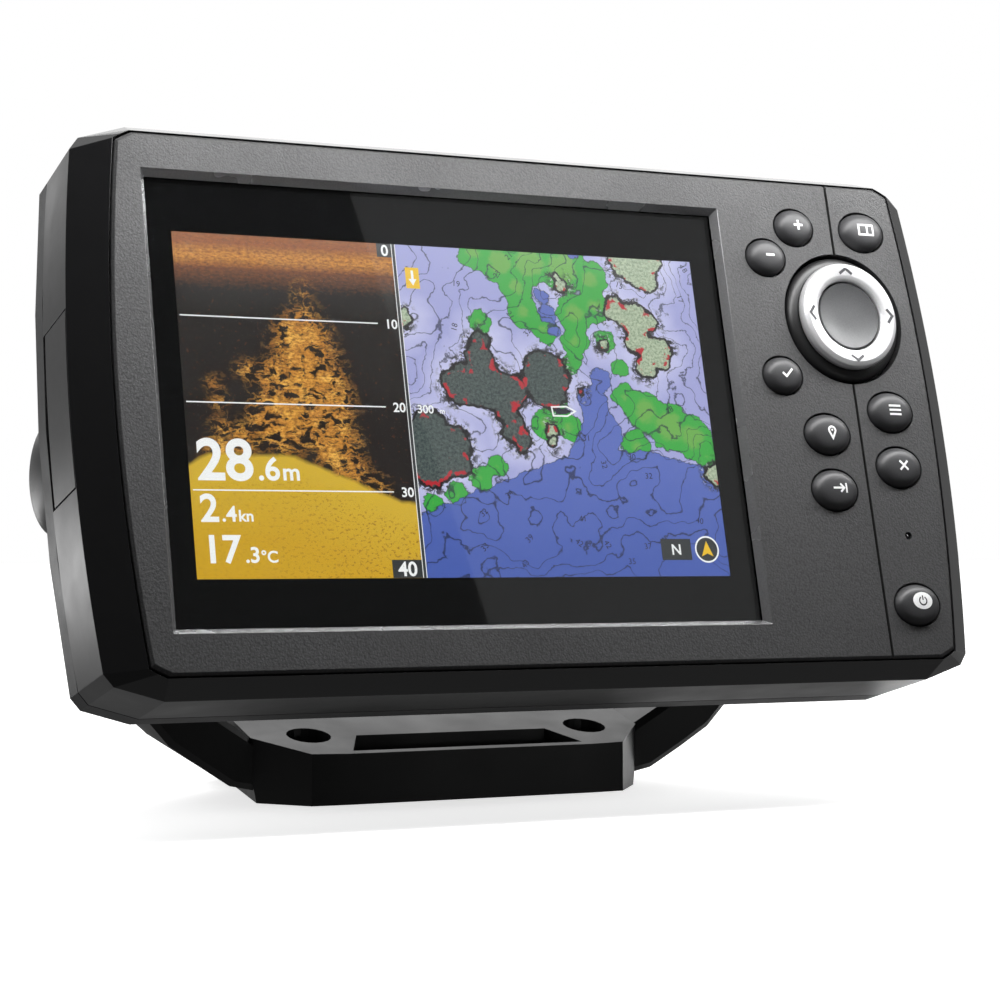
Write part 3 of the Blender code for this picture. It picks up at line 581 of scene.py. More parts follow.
WHITE = moulded("white_plastic", (0.78, 0.78, 0.77), 0.52, 0.5 * MM, 0.01 * MM, 0.04)
STEEL = metal("steel", (0.56, 0.56, 0.57), 0.30)
DARK_STEEL = metal("screw_steel", (0.075, 0.075, 0.08), 0.36)
BRASS = metal("brass", (0.78, 0.57, 0.26), 0.28)
GOLD = metal("contact_gold", (0.90, 0.66, 0.30), 0.24)
ALUMINIUM = metal("aluminium", (0.72, 0.73, 0.74), 0.38, (40, 1, 1))
BOARD = circuit_board()
FERRITE = moulded("ferrite", (0.05, 0.045, 0.045), 0.62, 0.4 * MM, 0.03 * MM)
CERAMIC = moulded("ceramic", (0.70, 0.65, 0.55), 0.48, 0.3 * MM, 0.008 * MM, 0.05)
SENSOR = moulded("sensor_window", (0.006, 0.006, 0.008), 0.12, 0.5 * MM, 0.002 * MM)
WHITE_INK = ink("legend_white", (0.80, 0.80, 0.80))
DARK_INK = ink("legend_dark", (0.05, 0.05, 0.055))
BORDER_INK = ink("glass_border", (0.0022, 0.0025, 0.0028), 0.5, Specular_IOR_Level=0.0)
GLASS = clear_glass()


# ---------------------------------------------------------------- housing


HEAD_CORNER = ((0.0, 5.1 * MM), (1.7 * MM, 2.8 * MM), (10.6 * MM, 0.0))
HEAD_BOW = 2.9 * MM
FACE_CORNER = ((0.0, 1.65 * MM), (1.5 * MM, 0.8 * MM), (3.1 * MM, 0.0))
FACE_BOW = 3.0 * MM
WALL = 2.4 * MM
GAP = 0.3 * MM
SHOULDER_Z = -6.0 * MM
HOUSING_LOW, HOUSING_HIGH = span("front_housing")
PARTING_Z = HOUSING_LOW.z
PLATE_LOW, PLATE_HIGH = span("faceplate")
FACE_BACK_Z = PLATE_LOW.z
DOOR_LOW, DOOR_HIGH = span("card_door")


def head_outline(inset, z):
    return outline(HOUSING_HIGH.x - inset, HOUSING_HIGH.y - inset, HEAD_BOW, HEAD_CORNER, z)


def face_outline(inset, z):
    return outline(PLATE_HIGH.x - inset, PLATE_HIGH.y - inset, FACE_BOW, FACE_CORNER, z)


def side_x(y):
    reach = HOUSING_HIGH.y - HEAD_CORNER[0][1]
    return HOUSING_HIGH.x - HEAD_BOW * (y / reach) ** 2


def make_front_housing():
    bm = bmesh.new()
    add_loft(bm, [
        face_outline(-0.35 * MM, -0.4 * MM),
        head_outline(0.0, SHOULDER_Z),
        head_outline(0.0, PARTING_Z),
        head_outline(WALL, PARTING_Z),
        head_outline(WALL, SHOULDER_Z - 1.8 * MM),
        face_outline(1.0 * MM, -4.6 * MM),
        face_outline(1.0 * MM, FACE_BACK_Z - GAP),
        face_outline(-0.35 * MM, FACE_BACK_Z - GAP),
    ], looped=True, first_slot=1)
    made = piece("housing_front", bm, [FRONT, SIDE], "head", ("front_housing",),
                 sharp=12)
    opening = bmesh.new()
    depth = DOOR_HIGH.z + GAP - (PARTING_Z - 1.0 * MM)
    add_box(opening, (6.6 * MM, DOOR_HIGH.y - DOOR_LOW.y + 2 * GAP, depth),
            (-HOUSING_HIGH.x + 0.5 * MM, (DOOR_LOW.y + DOOR_HIGH.y) / 2,
             DOOR_HIGH.z + GAP - depth / 2))
    cut(made, opening)
    soften(made, 0.32 * MM, 3, 11)


def make_card_door():
    """Door in the left side, bowed as the side is, with a hinge barrel along its back edge."""
    pin = middle("door_hinge_pin")
    barrel = 1.3 * MM
    steps = 16
    heights = [DOOR_LOW.y + (DOOR_HIGH.y - DOOR_LOW.y) * i / steps for i in range(steps + 1)]
    outer = [(-side_x(y), y) for y in heights]
    inner = pin.x + 0.5 * MM
    plan = outer + [(inner, DOOR_HIGH.y), (inner, DOOR_LOW.y)]
    bm = bmesh.new()
    add_loft(bm, [[Vector((x, y, z)) for x, y in plan] for z in (DOOR_HIGH.z, pin.z)])
    made = piece("card_door_panel", bm, SIDE, "card_door", ("card_door",),
                 sharp=20)
    roll = bmesh.new()
    height = DOOR_HIGH.y - DOOR_LOW.y
    upright = Matrix.Translation((pin.x, (DOOR_LOW.y + DOOR_HIGH.y) / 2, pin.z)) @ (
        Matrix.Rotation(math.pi / 2, 4, "X"))
    add_rod(roll, barrel, height, upright, 48)
    cut(made, roll, operation="UNION")
    bore = bmesh.new()
    add_rod(bore, 0.8 * MM, height + 2 * MM, upright, 24)
    cut(made, bore)
    soften(made, 0.16 * MM, 3, 24)


def make_faceplate():
    bm = bmesh.new()
    add_loft(bm, [face_outline(0.5 * MM, 0.0), face_outline(0.0, -0.5 * MM),
                  face_outline(0.0, FACE_BACK_Z)])
    made = piece("faceplate_bezel", bm, [FACE], "head", ("faceplate",),
                 sharp=15)
    glass_low, glass_high = span("window_glass")
    centre = ((glass_low.x + glass_high.x) / 2, (glass_low.y + glass_high.y) / 2)
    glass_half = ((glass_high.x - glass_low.x) / 2, (glass_high.y - glass_low.y) / 2)
    lap, depth, width = 2.0 * MM, 1.8 * MM, 1.1 * MM
    reach = 0.4 * MM
    outer = [half - lap + width / depth * reach for half in glass_half]
    outer[1] = glass_half[1] - 1.8 * MM + width / depth * reach
    inner = [half - width / depth * (depth + 2 * reach) for half in outer]
    window = bmesh.new()
    add_loft(window, [rectangle(outer, reach, centre),
                      rectangle(inner, -depth - reach, centre)])
    cut(made, window, BEVEL)
    through = (FACE_BACK_Z - 1.0 * MM, 1.0 * MM)
    holes = bmesh.new()
    pad = middle("dpad_skirt")
    add_cylinder(holes, 14.0 * MM, *through, (pad.x, pad.y), 128)
    for name in KEYS:
        place, half_w, half_h = key_place(name)
        add_cylinder(holes, half_h + KEY_PLAY, *through, (place.x, place.y), 64,
                     (half_w + KEY_PLAY) / (half_h + KEY_PLAY))
    sensor = middle("light_sensor")
    add_cylinder(holes, 0.8 * MM, *through, (sensor.x, sensor.y), 32)
    cut(made, holes)
    pocket = bmesh.new()
    size = [2 * half + 2 * GAP for half in glass_half]
    add_box(pocket, (*size, 2.0 * MM), (*centre, -depth - 1.0 * MM))
    cut(made, pocket)
    seams = bmesh.new()
    top = PLATE_HIGH.y
    add_box(seams, (0.55 * MM, 18.0 * MM, 1.4 * MM), (pad.x, top - 7.2 * MM, 0.0))
    add_box(seams, (0.55 * MM, 60.0 * MM, 1.4 * MM), (pad.x, -23.2 * MM, 0.0))
    cut(made, seams, SEAL)
    soften(made, 0.14 * MM, 2, 28, sharp=True)


# ---------------------------------------------------------------- keys


KEY_PLAY = 0.4 * MM
KEY_PROUD = 1.9 * MM
FLANGE = 0.6 * MM
KEYS = ("key_zoom_in", "key_zoom_out", "key_check", "key_view", "key_menu", "key_mark",
        "key_exit", "key_goto", "key_power")
INK_LIFT = 0.03 * MM


def key_place(name):
    low, high = span(name)
    half_h = (high.y - low.y) / 2 - FLANGE
    return (low + high) / 2, half_h * (high.x - low.x) / (high.y - low.y), half_h


def dome(share):
    """Height of a key's top above the face, at a share of its half width."""
    share = min(1.0, share)
    return KEY_PROUD - 1.9 * MM * (0.30 * share ** 2 + 0.70 * share ** 7)


def legend(mark, name):
    """Draws a key's mark round the key's middle."""
    line = 0.42
    if name == "key_zoom_in":
        mark.stroke([(-1.05, 0.0), (1.05, 0.0)], 0.5)
        mark.stroke([(0.0, -1.05), (0.0, 1.05)], 0.5)
    elif name == "key_zoom_out":
        mark.stroke([(-1.0, 0.0), (1.0, 0.0)], 0.5)
    elif name == "key_check":
        mark.stroke([(-1.15, 0.1), (-0.35, -0.7), (1.2, 0.9)], 0.46)
    elif name == "key_view":
        w, h = 1.7, 1.05
        mark.stroke([(-w, -h), (w, -h), (w, h), (-w, h)], line, closed=True)
        mark.stroke([(0.25, -h), (0.25, h)], line)
    elif name == "key_menu":
        for y in (-0.9, 0.0, 0.9):
            mark.stroke([(-1.4, y), (1.4, y)], line)
    elif name == "key_mark":
        mark.arc((0.0, 0.35), 0.75, -35, 215, line)
        mark.stroke([(-0.62, -0.08), (0.0, -1.3), (0.62, -0.08)], line)
        mark.disc((0.0, 0.4), 0.22, 0.22, steps=24, rings=2)
    elif name == "key_exit":
        mark.stroke([(-0.95, -0.95), (0.95, 0.95)], 0.44)
        mark.stroke([(-0.95, 0.95), (0.95, -0.95)], 0.44)
    elif name == "key_goto":
        mark.stroke([(-1.5, 0.0), (0.9, 0.0)], line)
        mark.stroke([(0.15, 0.85), (1.0, 0.0), (0.15, -0.85)], line)
        mark.stroke([(1.55, 1.0), (1.55, -1.0)], line)
    elif name == "key_power":
        mark.disc((0.15, 0.45), 2.3, 1.75)


def make_keys():
    for name in KEYS:
        place, half_w, half_h = key_place(name)
        flange_z = span(name)[0].z
        steps = 22
        crown = [(half_h * math.sin(math.pi / 2 * i / steps),
                  dome(math.sin(math.pi / 2 * i / steps))) for i in range(steps + 1)]
        flange_top = FACE_BACK_Z - GAP - 0.1 * MM
        profile = crown + [(half_h, flange_top), (half_h + FLANGE, flange_top),
                           (half_h + FLANGE, flange_top - 0.6 * MM),
                           (2.2 * MM, flange_top - 0.6 * MM), (2.2 * MM, flange_z),
                           (0.0, flange_z)]
        bm = bmesh.new()
        add_turned(bm, profile, 72, oval=half_w / half_h)
        spot = Matrix.Translation((place.x, place.y, 0.0))
        piece(name + "_cap", bm, KEY, name, (name,), spot, sharp=40)

        def height(x, y, lift=INK_LIFT, w=half_w, h=half_h):
            return dome(math.hypot(x / w, y / h)) + lift

        mark = Ink(height)
        legend(mark, name)
        piece(name + "_legend", mark.mesh(name), WHITE_INK, name, place=spot)
        if name == "key_power":
            sign = Ink(lambda x, y: height(x, y, 2 * INK_LIFT))
            sign.arc((0.15, 0.4), 0.85, 122, 418, 0.3)
            sign.stroke([(0.15, 0.55), (0.15, 1.5)], 0.3)
            piece("key_power_sign", sign.mesh(name), DARK_INK, name, place=spot)


def make_dpad():
    pad = middle("dpad_skirt")
    skirt_low, skirt_high = span("dpad_skirt")
    ring_low, ring_high = span("dpad_ring")
    dish_high = span("dpad_dish")[1]
    spot = Matrix.Translation((pad.x, pad.y, 0.0))
    outer = (skirt_high.x - skirt_low.x) / 2
    ring_r = (ring_high.x - ring_low.x) / 2
    hub = ring_r - 3.9 * MM
    top = ring_high.z

    skirt = bmesh.new()
    add_turned(skirt, rounded([
        (0.0, skirt_high.z), (ring_r + 0.4 * MM, skirt_high.z),
        (outer - 0.7 * MM, skirt_high.z - 0.3 * MM), (outer, skirt_high.z - 1.2 * MM),
        (outer, skirt_low.z + 0.6 * MM), (6.0 * MM, skirt_low.z), (0.0, skirt_low.z),
    ], 0.5 * MM), 128, spot)
    piece("pad_skirt", skirt, SKIRT, "dpad", ("dpad_skirt",), sharp=45)

    low = ring_low.z
    ring = bmesh.new()
    profile = [(ring_r - 1.2 * MM, top), (ring_r - 0.3 * MM, top - 0.5 * MM),
               (ring_r, top - 1.3 * MM), (ring_r, low), (hub, low), (hub, top - 0.9 * MM),
               (hub + 0.3 * MM, top - 0.5 * MM), (hub + 1.0 * MM, top - 0.2 * MM)]
    add_turned(ring, profile, 144, spot, looped=True)
    made = piece("pad_ring", ring, RING, "dpad", ("dpad_ring",), sharp=50)
    soften(made, 0.18 * MM, 3, 12)

    rim = hub - 0.4 * MM
    dish = bmesh.new()
    floor = dish_high.z - 0.9 * MM
    steps = 16
    bowl = [(rim * 0.94 * i / steps, floor + 0.8 * MM * (i / steps) ** 2.6)
            for i in range(steps + 1)]
    add_turned(dish, bowl + [(rim - 0.12 * MM, dish_high.z), (rim, dish_high.z - 0.2 * MM),
                             (rim, low), (0.0, low)], 96, spot)
    piece("pad_dish", dish, DISH, "dpad", ("dpad_dish",), sharp=45)

    def ring_height(x, y):
        r = math.hypot(x, y)
        flat_in, flat_out = hub + 1.0 * MM, ring_r - 1.2 * MM
        share = (r - flat_in) / (flat_out - flat_in)
        return top - 0.2 * MM + 0.2 * MM * min(1.0, max(0.0, share)) + INK_LIFT

    arrows = Ink(ring_height)
    mid = hub / MM + 2.05
    for quarter in range(4):
        a = quarter * math.pi / 2
        out, across = Vector((math.cos(a), math.sin(a))), Vector((-math.sin(a), math.cos(a)))
        tip, back, wing = mid + 0.40, mid - 0.72, 1.50
        arrows.stroke([out * back + across * wing, out * tip, out * back - across * wing], 0.60)
    piece("pad_arrows", arrows.mesh("pad_arrows"), DARK_INK, "dpad", place=spot)


# ---------------------------------------------------------------- picture


SCREEN_HALF = (54.0 * MM, 32.4 * MM)
# Millimetres from the picture's middle: where its two panes meet, and its readings' margin
PANE_SPLIT = -10.6
READOUT_LEFT = -52.6


def blobs(look, place, spots, blend=2.5):
    """Signed distance in mm to a group of soft blobs, given as (x, y, radius)."""
    total = None
    for x, y, radius in spots:
        away = Wire(look, look.vector("DISTANCE", place, (x, y, 0.0))) - radius
        total = away if total is None else look.math("SMOOTH_MIN", total, away, blend)
    return total


# Places on the chart in millimetres from the picture's middle, as (x, y, radius)
LAND_WEST = [(5.6, 14.0, 1.8), (5.0, 10.4, 3.0), (0.6, 5.0, 3.9), (5.6, 5.0, 4.6),
             (11.0, 3.9, 3.4), (18.6, 7.4, 4.9), (19.0, 4.4, 3.8), (9.6, 0.4, 2.2),
             (10.6, -3.4, 2.4), (12.2, -6.0, 1.9), (-6.8, -4.0, 3.6), (-6.8, -10.4, 4.6),
             (-2.4, -6.6, 3.6), (-1.4, -10.4, 2.6), (-11.0, -8.0, 5.0)]
LAND_EAST = [(35.6, 21.6, 2.5), (39.4, 19.6, 3.4), (42.4, 19.0, 2.2), (40.0, 15.4, 2.8),
             (43.4, 12.6, 3.3), (41.0, 9.6, 2.1), (45.4, 13.6, 1.7),
             (38.0, 31.4, 2.4), (42.0, 30.6, 4.2), (43.4, 27.6, 2.2), (45.8, 31.8, 1.6)]
ISLETS = [(24.2, 26.2, 1.3), (23.4, 27.6, 0.8), (18.7, -4.0, 1.1), (18.6, -6.2, 1.0),
          (31.9, 13.9, 0.9), (-10.4, 17.6, 2.1), (53.6, -12.0, 2.0), (26.2, 4.2, 0.5)]
SHALLOWS = [(6.2, 31.6, 3.4), (11.4, 30.0, 4.4), (18.0, 30.4, 5.0), (25.0, 29.6, 5.0),
            (31.0, 27.8, 3.6), (31.0, 22.0, 3.4), (14.6, 25.0, 3.4), (15.4, 20.0, 3.2),
            (19.6, 16.6, 2.8), (26.6, 20.4, 4.0), (26.0, 14.4, 3.0), (24.6, 10.0, 2.0),
            (32.6, 14.8, 2.2), (35.0, 9.4, 2.0), (35.4, 3.4, 2.6), (39.6, 0.6, 4.2),
            (44.6, -2.4, 5.0), (49.6, -4.4, 4.4), (36.6, -6.4, 3.0), (52.0, -8.4, 2.2),
            (5.8, 17.6, 2.5), (17.6, -2.4, 3.0), (22.6, -3.0, 2.8), (20.6, 1.6, 2.0),
            (6.4, -11.0, 2.1), (2.6, -13.4, 2.4), (-2.4, -16.4, 2.2), (-7.4, -18.4, 2.0)]
DEEPS = [(19.8, 23.6, 1.5), (20.6, 20.0, 1.9), (21.6, 16.4, 1.3), (30.4, 6.8, 2.3),
         (28.4, 2.0, 3.4), (29.4, -4.0, 4.6), (26.4, -8.6, 4.4), (27.6, 32.4, 1.2)]
LILAC, PALE_LILAC = (0.37, 0.38, 0.69), (0.60, 0.60, 0.85)
DEEP_BLUE, MID_BLUE = (0.062, 0.110, 0.42), (0.105, 0.155, 0.50)
GREEN, OLIVE_GREEN = (0.040, 0.40, 0.052), (0.150, 0.42, 0.075)
ROCK_DARK, ROCK_LIGHT = (0.020, 0.034, 0.036), (0.105, 0.135, 0.125)
DRY_DARK, DRY_LIGHT = (0.21, 0.29, 0.19), (0.52, 0.60, 0.43)


def chart_colour(look, place):
    """Colours of the chart: depth bands, contour lines, shores and speckled land."""
    wander = look.node("ShaderNodeTexNoise", {"Vector": place, "Scale": 1 / 2.6, "Detail": 5.0,
                                              "Roughness": 0.60}).outputs["Color"]
    shift = look.vector("MULTIPLY", look.vector("SUBTRACT", wander, (0.5, 0.5, 0.5)),
                        (3.4, 3.4, 0.0))
    shifted = look.vector("ADD", place, shift)
    west = blobs(look, shifted, LAND_WEST, 1.6)
    east = blobs(look, shifted, LAND_EAST, 1.0)
    islets = blobs(look, shifted, ISLETS, 0.3)
    dry_land = look.math("MINIMUM", east, islets)
    land = look.math("MINIMUM", west, dry_land)
    shallow = blobs(look, shifted, SHALLOWS, 1.8)
    across, height = look.axis("X", shifted), look.axis("Y", shifted)
    rise = look.remap(across, -11.0, 24.0, -20.8, -7.6) - look.remap(across, 40.0, 55.0, 0.0, 3.6)
    deep = look.math("SMOOTH_MIN", height - rise, blobs(look, shifted, DEEPS, 1.5), 1.6)

    broad = look.noise(9.0, 2.0, place=place)
    water = look.mix(look.remap(land + broad * 5.0, 2.4, 8.0), PALE_LILAC, LILAC)
    blue = look.mix(look.remap(height + broad * 10.0, -24.0, -4.0), DEEP_BLUE, MID_BLUE)
    water = look.mix(shallow.below(0.0, 0.12), water,
                     look.mix(look.remap(shallow, -2.6, -1.6), OLIVE_GREEN, GREEN))
    water = look.mix(deep.below(0.0, 0.12), water, blue)

    swell = look.noise(11.0, 2.0, 0.45, place) * 7.0 + look.noise(3.4, 3.0, 0.5, place) * 0.8
    slope = look.math("MINIMUM", land, 9.0) * 0.24 + deep * 0.20 + swell
    ripple = look.math("ABSOLUTE", look.math("FRACT", slope) - 0.5)
    water = look.mix(ripple.below(0.045, 0.045) * 0.80, water, (0.012, 0.016, 0.045))
    for edge in (shallow, deep):
        rim = look.math("ABSOLUTE", edge).below(0.09, 0.12) * 0.8
        water = look.mix(rim, water, (0.010, 0.020, 0.020))
    debris = look.noise(1.1, 4.0, 0.75, place)
    near = land.below(1.5, 1.0) * look.noise(6.0, 2.0, place=place, seed=30.0).above(0.46, 0.04)
    water = look.mix(near * debris.above(0.50, 0.03) * 0.92, water, (0.02, 0.02, 0.025))
    foam = near * look.noise(0.8, 3.0, 0.7, place, seed=7.0).above(0.60, 0.03)
    water = look.mix(foam * 0.7, water, (0.55, 0.55, 0.60))

    speckle = look.noise(0.55, 3.0, 0.75, place)
    rock = look.mix(look.remap(speckle, 0.36, 0.64), ROCK_DARK, ROCK_LIGHT)
    dry = look.mix(look.remap(speckle, 0.36, 0.62), DRY_DARK, DRY_LIGHT)
    ground = look.mix(dry_land.below(0.3), rock, dry)
    rust = look.noise(2.6, 2.0, place=place, seed=11.0).above(0.555, 0.03) * land.above(-1.0, 0.3)
    ground = look.mix(rust, ground, (0.48, 0.018, 0.030))
    colour = look.mix(land.below(0.0, 0.1), water, ground)
    shore = look.math("ABSOLUTE", land - 0.10).below(0.30, 0.18)
    return look.mix(shore, colour, (0.008, 0.006, 0.008))


TREE = [(-30, 17, 2.6), (-30.5, 11.5, 6.0), (-30, 5.5, 7.0), (-36.5, 5.2, 3.6), (-27, 0.5, 5.4),
        (-35, -2.5, 7.0), (-26, -7, 5.0), (-43.5, -7.0, 3.0), (-23.5, -12.5, 3.6),
        (-41.5, 6.6, 1.6), (-18.5, -15.5, 2.0), (-29.5, 22, 1.2)]
SIDE_BUSH = [(-48.0, 3.5, 0.8), (-47.6, 0.0, 0.8), (-47.0, -4.5, 1.4), (-47.6, -9.0, 3.0)]


def sonar_colour(look, place):
    """Colours of the sonar picture: surface clutter, a sunken tree and a bright bottom."""
    across, height = look.axis("X", place), look.axis("Y", place)
    rough = look.noise(0.50, 3.0, 0.7, place, (0.55, 1.0, 1.0))
    broad = look.noise(3.0, 3.0, 0.6, place, (0.6, 1.0, 1.0))

    band = look.remap(height + rough * 5.5, 24.6, 31.8)
    hot = look.math("ABSOLUTE", height - 28.2).below(1.4, 2.2) * look.remap(rough, 0.30, 0.66)
    clutter = look.mix(band * look.remap(rough, 0.2, 0.75, 0.35, 1.0), (0.006, 0.003, 0.002),
                       (0.40, 0.115, 0.012))
    clutter = look.mix(hot, clutter, (0.72, 0.31, 0.035))

    warp = look.node("ShaderNodeTexNoise", {"Vector": place, "Scale": 0.42,
                                            "Detail": 3.0}).outputs["Color"]
    warped = look.vector("ADD", place, look.vector("MULTIPLY", warp, (4.0, 2.6, 0.0)))
    fold = look.noise(1.9, 5.0, 0.62, warped, (0.62, 1.0, 1.0))
    twig = 1.0 - look.math("ABSOLUTE", fold - 0.5) * 11.0
    centred = look.vector("SUBTRACT", warped, (2.0, 1.3, 0.0))
    tree = look.math("MINIMUM", blobs(look, centred, TREE, 2.0),
                     blobs(look, centred, SIDE_BUSH, 0.6))
    inside = tree.below(0.4, 3.4)
    dense = look.remap(tree, -5.0, 0.5, 0.62, -0.15)
    fibre = look.remap(twig + dense * broad * 2.4, 0.25, 1.05)
    branches = inside * fibre * look.remap(rough, 0.30, 0.52, 0.25, 1.0)
    colour = look.mix(branches, clutter, (0.60, 0.25, 0.030))
    glint = branches * look.remap(rough * broad, 0.24, 0.40)
    colour = look.mix(glint, colour, (0.95, 0.55, 0.10))
    ember = look.noise(0.8, 2.0, place=place, seed=5.0).above(0.67, 0.08)
    colour = look.mix(ember * 0.35, colour, (0.22, 0.05, 0.006))

    right = look.remap(across, -34.0, -14.0)
    swell = look.noise(5.0, 2.0, place=place, seed=3.0) * 1.6
    level = right * -8.6 + swell - 10.4 + look.remap(across, -54.0, -50.0, -1.8, 0.0)
    ground = height - level
    fleck = look.noise(0.55, 3.0, 0.7, place, (0.8, 1.0, 1.0))
    deep = look.remap(ground + broad * 4.0, -14.0, 0.0)
    gold = look.mix(deep, (0.62, 0.36, 0.014), (0.66, 0.43, 0.030))
    marks = fleck.above(0.585, 0.05) * look.remap(across, -46.0, -20.0, 0.25, 1.0)
    gold = look.mix(marks * look.remap(ground, -2.0, -6.0), gold, (0.34, 0.17, 0.008))
    edge = ground.below(0.0, 0.9)
    return look.mix(edge, colour, gold)


def picture_look():
    look = Look("picture", (0.0, 0.0, 0.0), 0.35)
    place = look.vector("MULTIPLY", look.place, (1 / MM, 1 / MM, 0.0))
    chart = look.axis("X", place).above(PANE_SPLIT)
    colour = look.mix(chart, sonar_colour(look, place), chart_colour(look, place))
    look.set("Emission Color", colour)
    look.set("Emission Strength", 1.0)
    return look.material


def add_readouts(marks):
    """White readings at the lower left: depth, speed and water temperature."""
    for height, y, whole, part, unit in ((7.4, -14.2, "28", ".6", "m"),
                                         (4.9, -21.9, "2", ".4", "kn"),
                                         (4.9, -29.4, "17", ".3", "°C")):
        start = READOUT_LEFT
        for body, share in ((whole, 1.0), (part, 0.56), (unit, 0.42)):
            marks.text(body, height * share, (start, y), bold=0.022)
            start += width_of(body, height * share) + height * share * 0.10


def width_of(body, height):
    mesh = text_mesh(body, "LEFT", 0.022)
    zero = text_mesh("0", "LEFT", 0.0)
    scale = height / max(v.co.y for v in zero.vertices)
    wide = max(v.co.x for v in mesh.vertices) * scale
    bpy.data.meshes.remove(mesh)
    bpy.data.meshes.remove(zero)
    return wide


def add_range_scale(tiles, marks):
    """Range lines across the sonar pane with their depths at the right, and its edge."""
    low, high = -SCREEN_HALF[1] / MM, SCREEN_HALF[1] / MM
    for line, y in ((10, 16.4), (20, 0.1), (30, -16.2)):
        marks.stroke([(-53.6, y), (-15.2, y)], 0.24, step=4)
        marks.text(str(line), 1.75, (-11.2, y - 0.9), align="RIGHT", bold=0.02)
    tiles.tile((-14.0, 29.7), (-10.7, high))
    marks.text("0", 2.1, (-12.4, 30.0), align="CENTER", bold=0.02)
    tiles.tile((-16.9, low), (-10.9, -29.0))
    marks.text("40", 2.6, (-13.9, -32.0), align="CENTER", bold=0.02)
    for x in (PANE_SPLIT - 0.35, PANE_SPLIT + 0.35):
        marks.stroke([(x, low), (x, high)], 0.14, step=8)
    tiles.tile((PANE_SPLIT - 0.28, low), (PANE_SPLIT + 0.28, high))


CHART_DEPTHS = (
    (19, 1.7, 24.6, -8), (18, 1.0, 16.2, 75), (18, 52.0, 30.6, -60), (17, 50.2, 24.2, -70),
    (21, 14.0, 31.0, 40), (23, 11.1, 27.2, 50), (21, 12.1, 19.0, -60), (32, 16.2, 15.6, 50),
    (15, 37.0, 26.0, -20), (31, 26.0, -5.6, 0), (32, 28.6, -10.4, -80), (32, 38.6, -13.0, 0),
    (34, 8.6, -16.8, 40), (32, 2.9, -20.4, 40), (33, 2.4, -27.0, 45), (39, 11.8, -25.4, 40),
    (41, 23.2, -21.6, 0), (43, 10.4, -30.2, 50), (40, 48.6, -21.9, -12), (37, 36.6, -27.0, 5),
    (35, 32.7, -30.0, 0), (42, 21.5, -26.2, -40), (42, 27.4, -26.4, -60), (30, 35.4, -9.2, 0),
    (28, 45.4, 0.6, 30),
)


def add_chart_marks(tiles, marks, darks, yellows):
    for value, x, y, turn in CHART_DEPTHS:
        darks.text(str(value), 1.15, (x, y), align="CENTER", turn=turn)
    yellows.tile((-8.6, 23.7), (-5.8, 27.9))
    marks.stroke([(-7.2, 27.3), (-7.2, 24.8)], 0.5)
    marks.face([(-8.0, 25.6), (-7.2, 24.3), (-6.4, 25.6)])
    marks.text("300", 1.55, (-8.9, -0.9), bold=0.02)
    marks.text("m", 1.0, (-4.4, -0.9), bold=0.02)
    hull = [(19.2, 1.0), (22.4, 1.15), (24.2, 0.25), (22.4, -0.75), (19.4, -0.75)]
    marks.stroke(hull, 0.32, closed=True)
    darks.face([(21.6 + (x - 21.6) * 0.70, 0.2 + (y - 0.2) * 0.62) for x, y in hull])
    tiles.tile((39.4, -29.2), (46.0, -25.0))
    marks.text("N", 2.0, (42.7, -28.1), align="CENTER", bold=0.02)
    tiles.disc((49.5, -27.1), 2.6, 2.6)
    marks.arc((49.5, -27.1), 2.5, 0, 360, 0.34)
    arrow = [(49.5, -25.4), (50.8, -28.5), (49.5, -27.9), (48.2, -28.5)]
    yellows.face(arrow[:3])
    yellows.face([arrow[0], *arrow[2:]])


def make_screen():
    panel_low, panel_high = span("lcd_panel")
    glass_low, glass_high = span("window_glass")
    centre_x = (panel_low.x + panel_high.x) / 2
    front = panel_high.z
    spot = Matrix.Translation((centre_x, 0.0, front))

    slab = 0.04 * MM
    bm = bmesh.new()
    add_box(bm, (2 * SCREEN_HALF[0], 2 * SCREEN_HALF[1], slab), (0.0, 0.0, slab / 2))
    piece("lcd_picture", bm, picture_look(), place=spot)

    tiles, marks, darks, yellows = (Ink(lambda x, y, z=z: z * MM) for z in
                                    (0.055, 0.075, 0.065, 0.065))
    add_readouts(marks)
    add_range_scale(tiles, marks)
    add_chart_marks(tiles, marks, darks, yellows)
    for name, drawn, word, colour in (
            ("picture_tiles", tiles, "lit_tile", (0.030, 0.034, 0.036)),
            ("picture_marks", marks, "lit_white", (0.96, 0.97, 0.97)),
            ("picture_depths", darks, "lit_dark", (0.012, 0.012, 0.03)),
            ("picture_arrows", yellows, "lit_yellow", (0.90, 0.56, 0.020))):
        piece(name, drawn.mesh(name), glow(word, colour), place=spot)

    half = [(glass_high[i] - glass_low[i]) / 2 for i in (0, 1)]
    centre = ((glass_high.x + glass_low.x) / 2, (glass_high.y + glass_low.y) / 2)
    border = bmesh.new()
    back = glass_low.z
    open_half = [s + 0.15 * MM for s in SCREEN_HALF]
    add_loft(border, [rectangle([h - 0.3 * MM for h in half], back - 0.03 * MM, centre),
                      rectangle([h - 0.3 * MM for h in half], back - 0.10 * MM, centre),
                      rectangle(open_half, back - 0.10 * MM, (centre_x, 0.0)),
                      rectangle(open_half, back - 0.03 * MM, (centre_x, 0.0))], looped=True)
    piece("glass_print", border, BORDER_INK, sharp=20)

    glass = bmesh.new()
    add_box(glass, [glass_high[i] - glass_low[i] for i in range(3)],
            (glass_low + glass_high) / 2)
    made = piece("glass_pane", glass, GLASS, "head", ("window_glass",))
    soften(made, 0.12 * MM, 2, 30)


# ---------------------------------------------------------------- back, sockets, screws


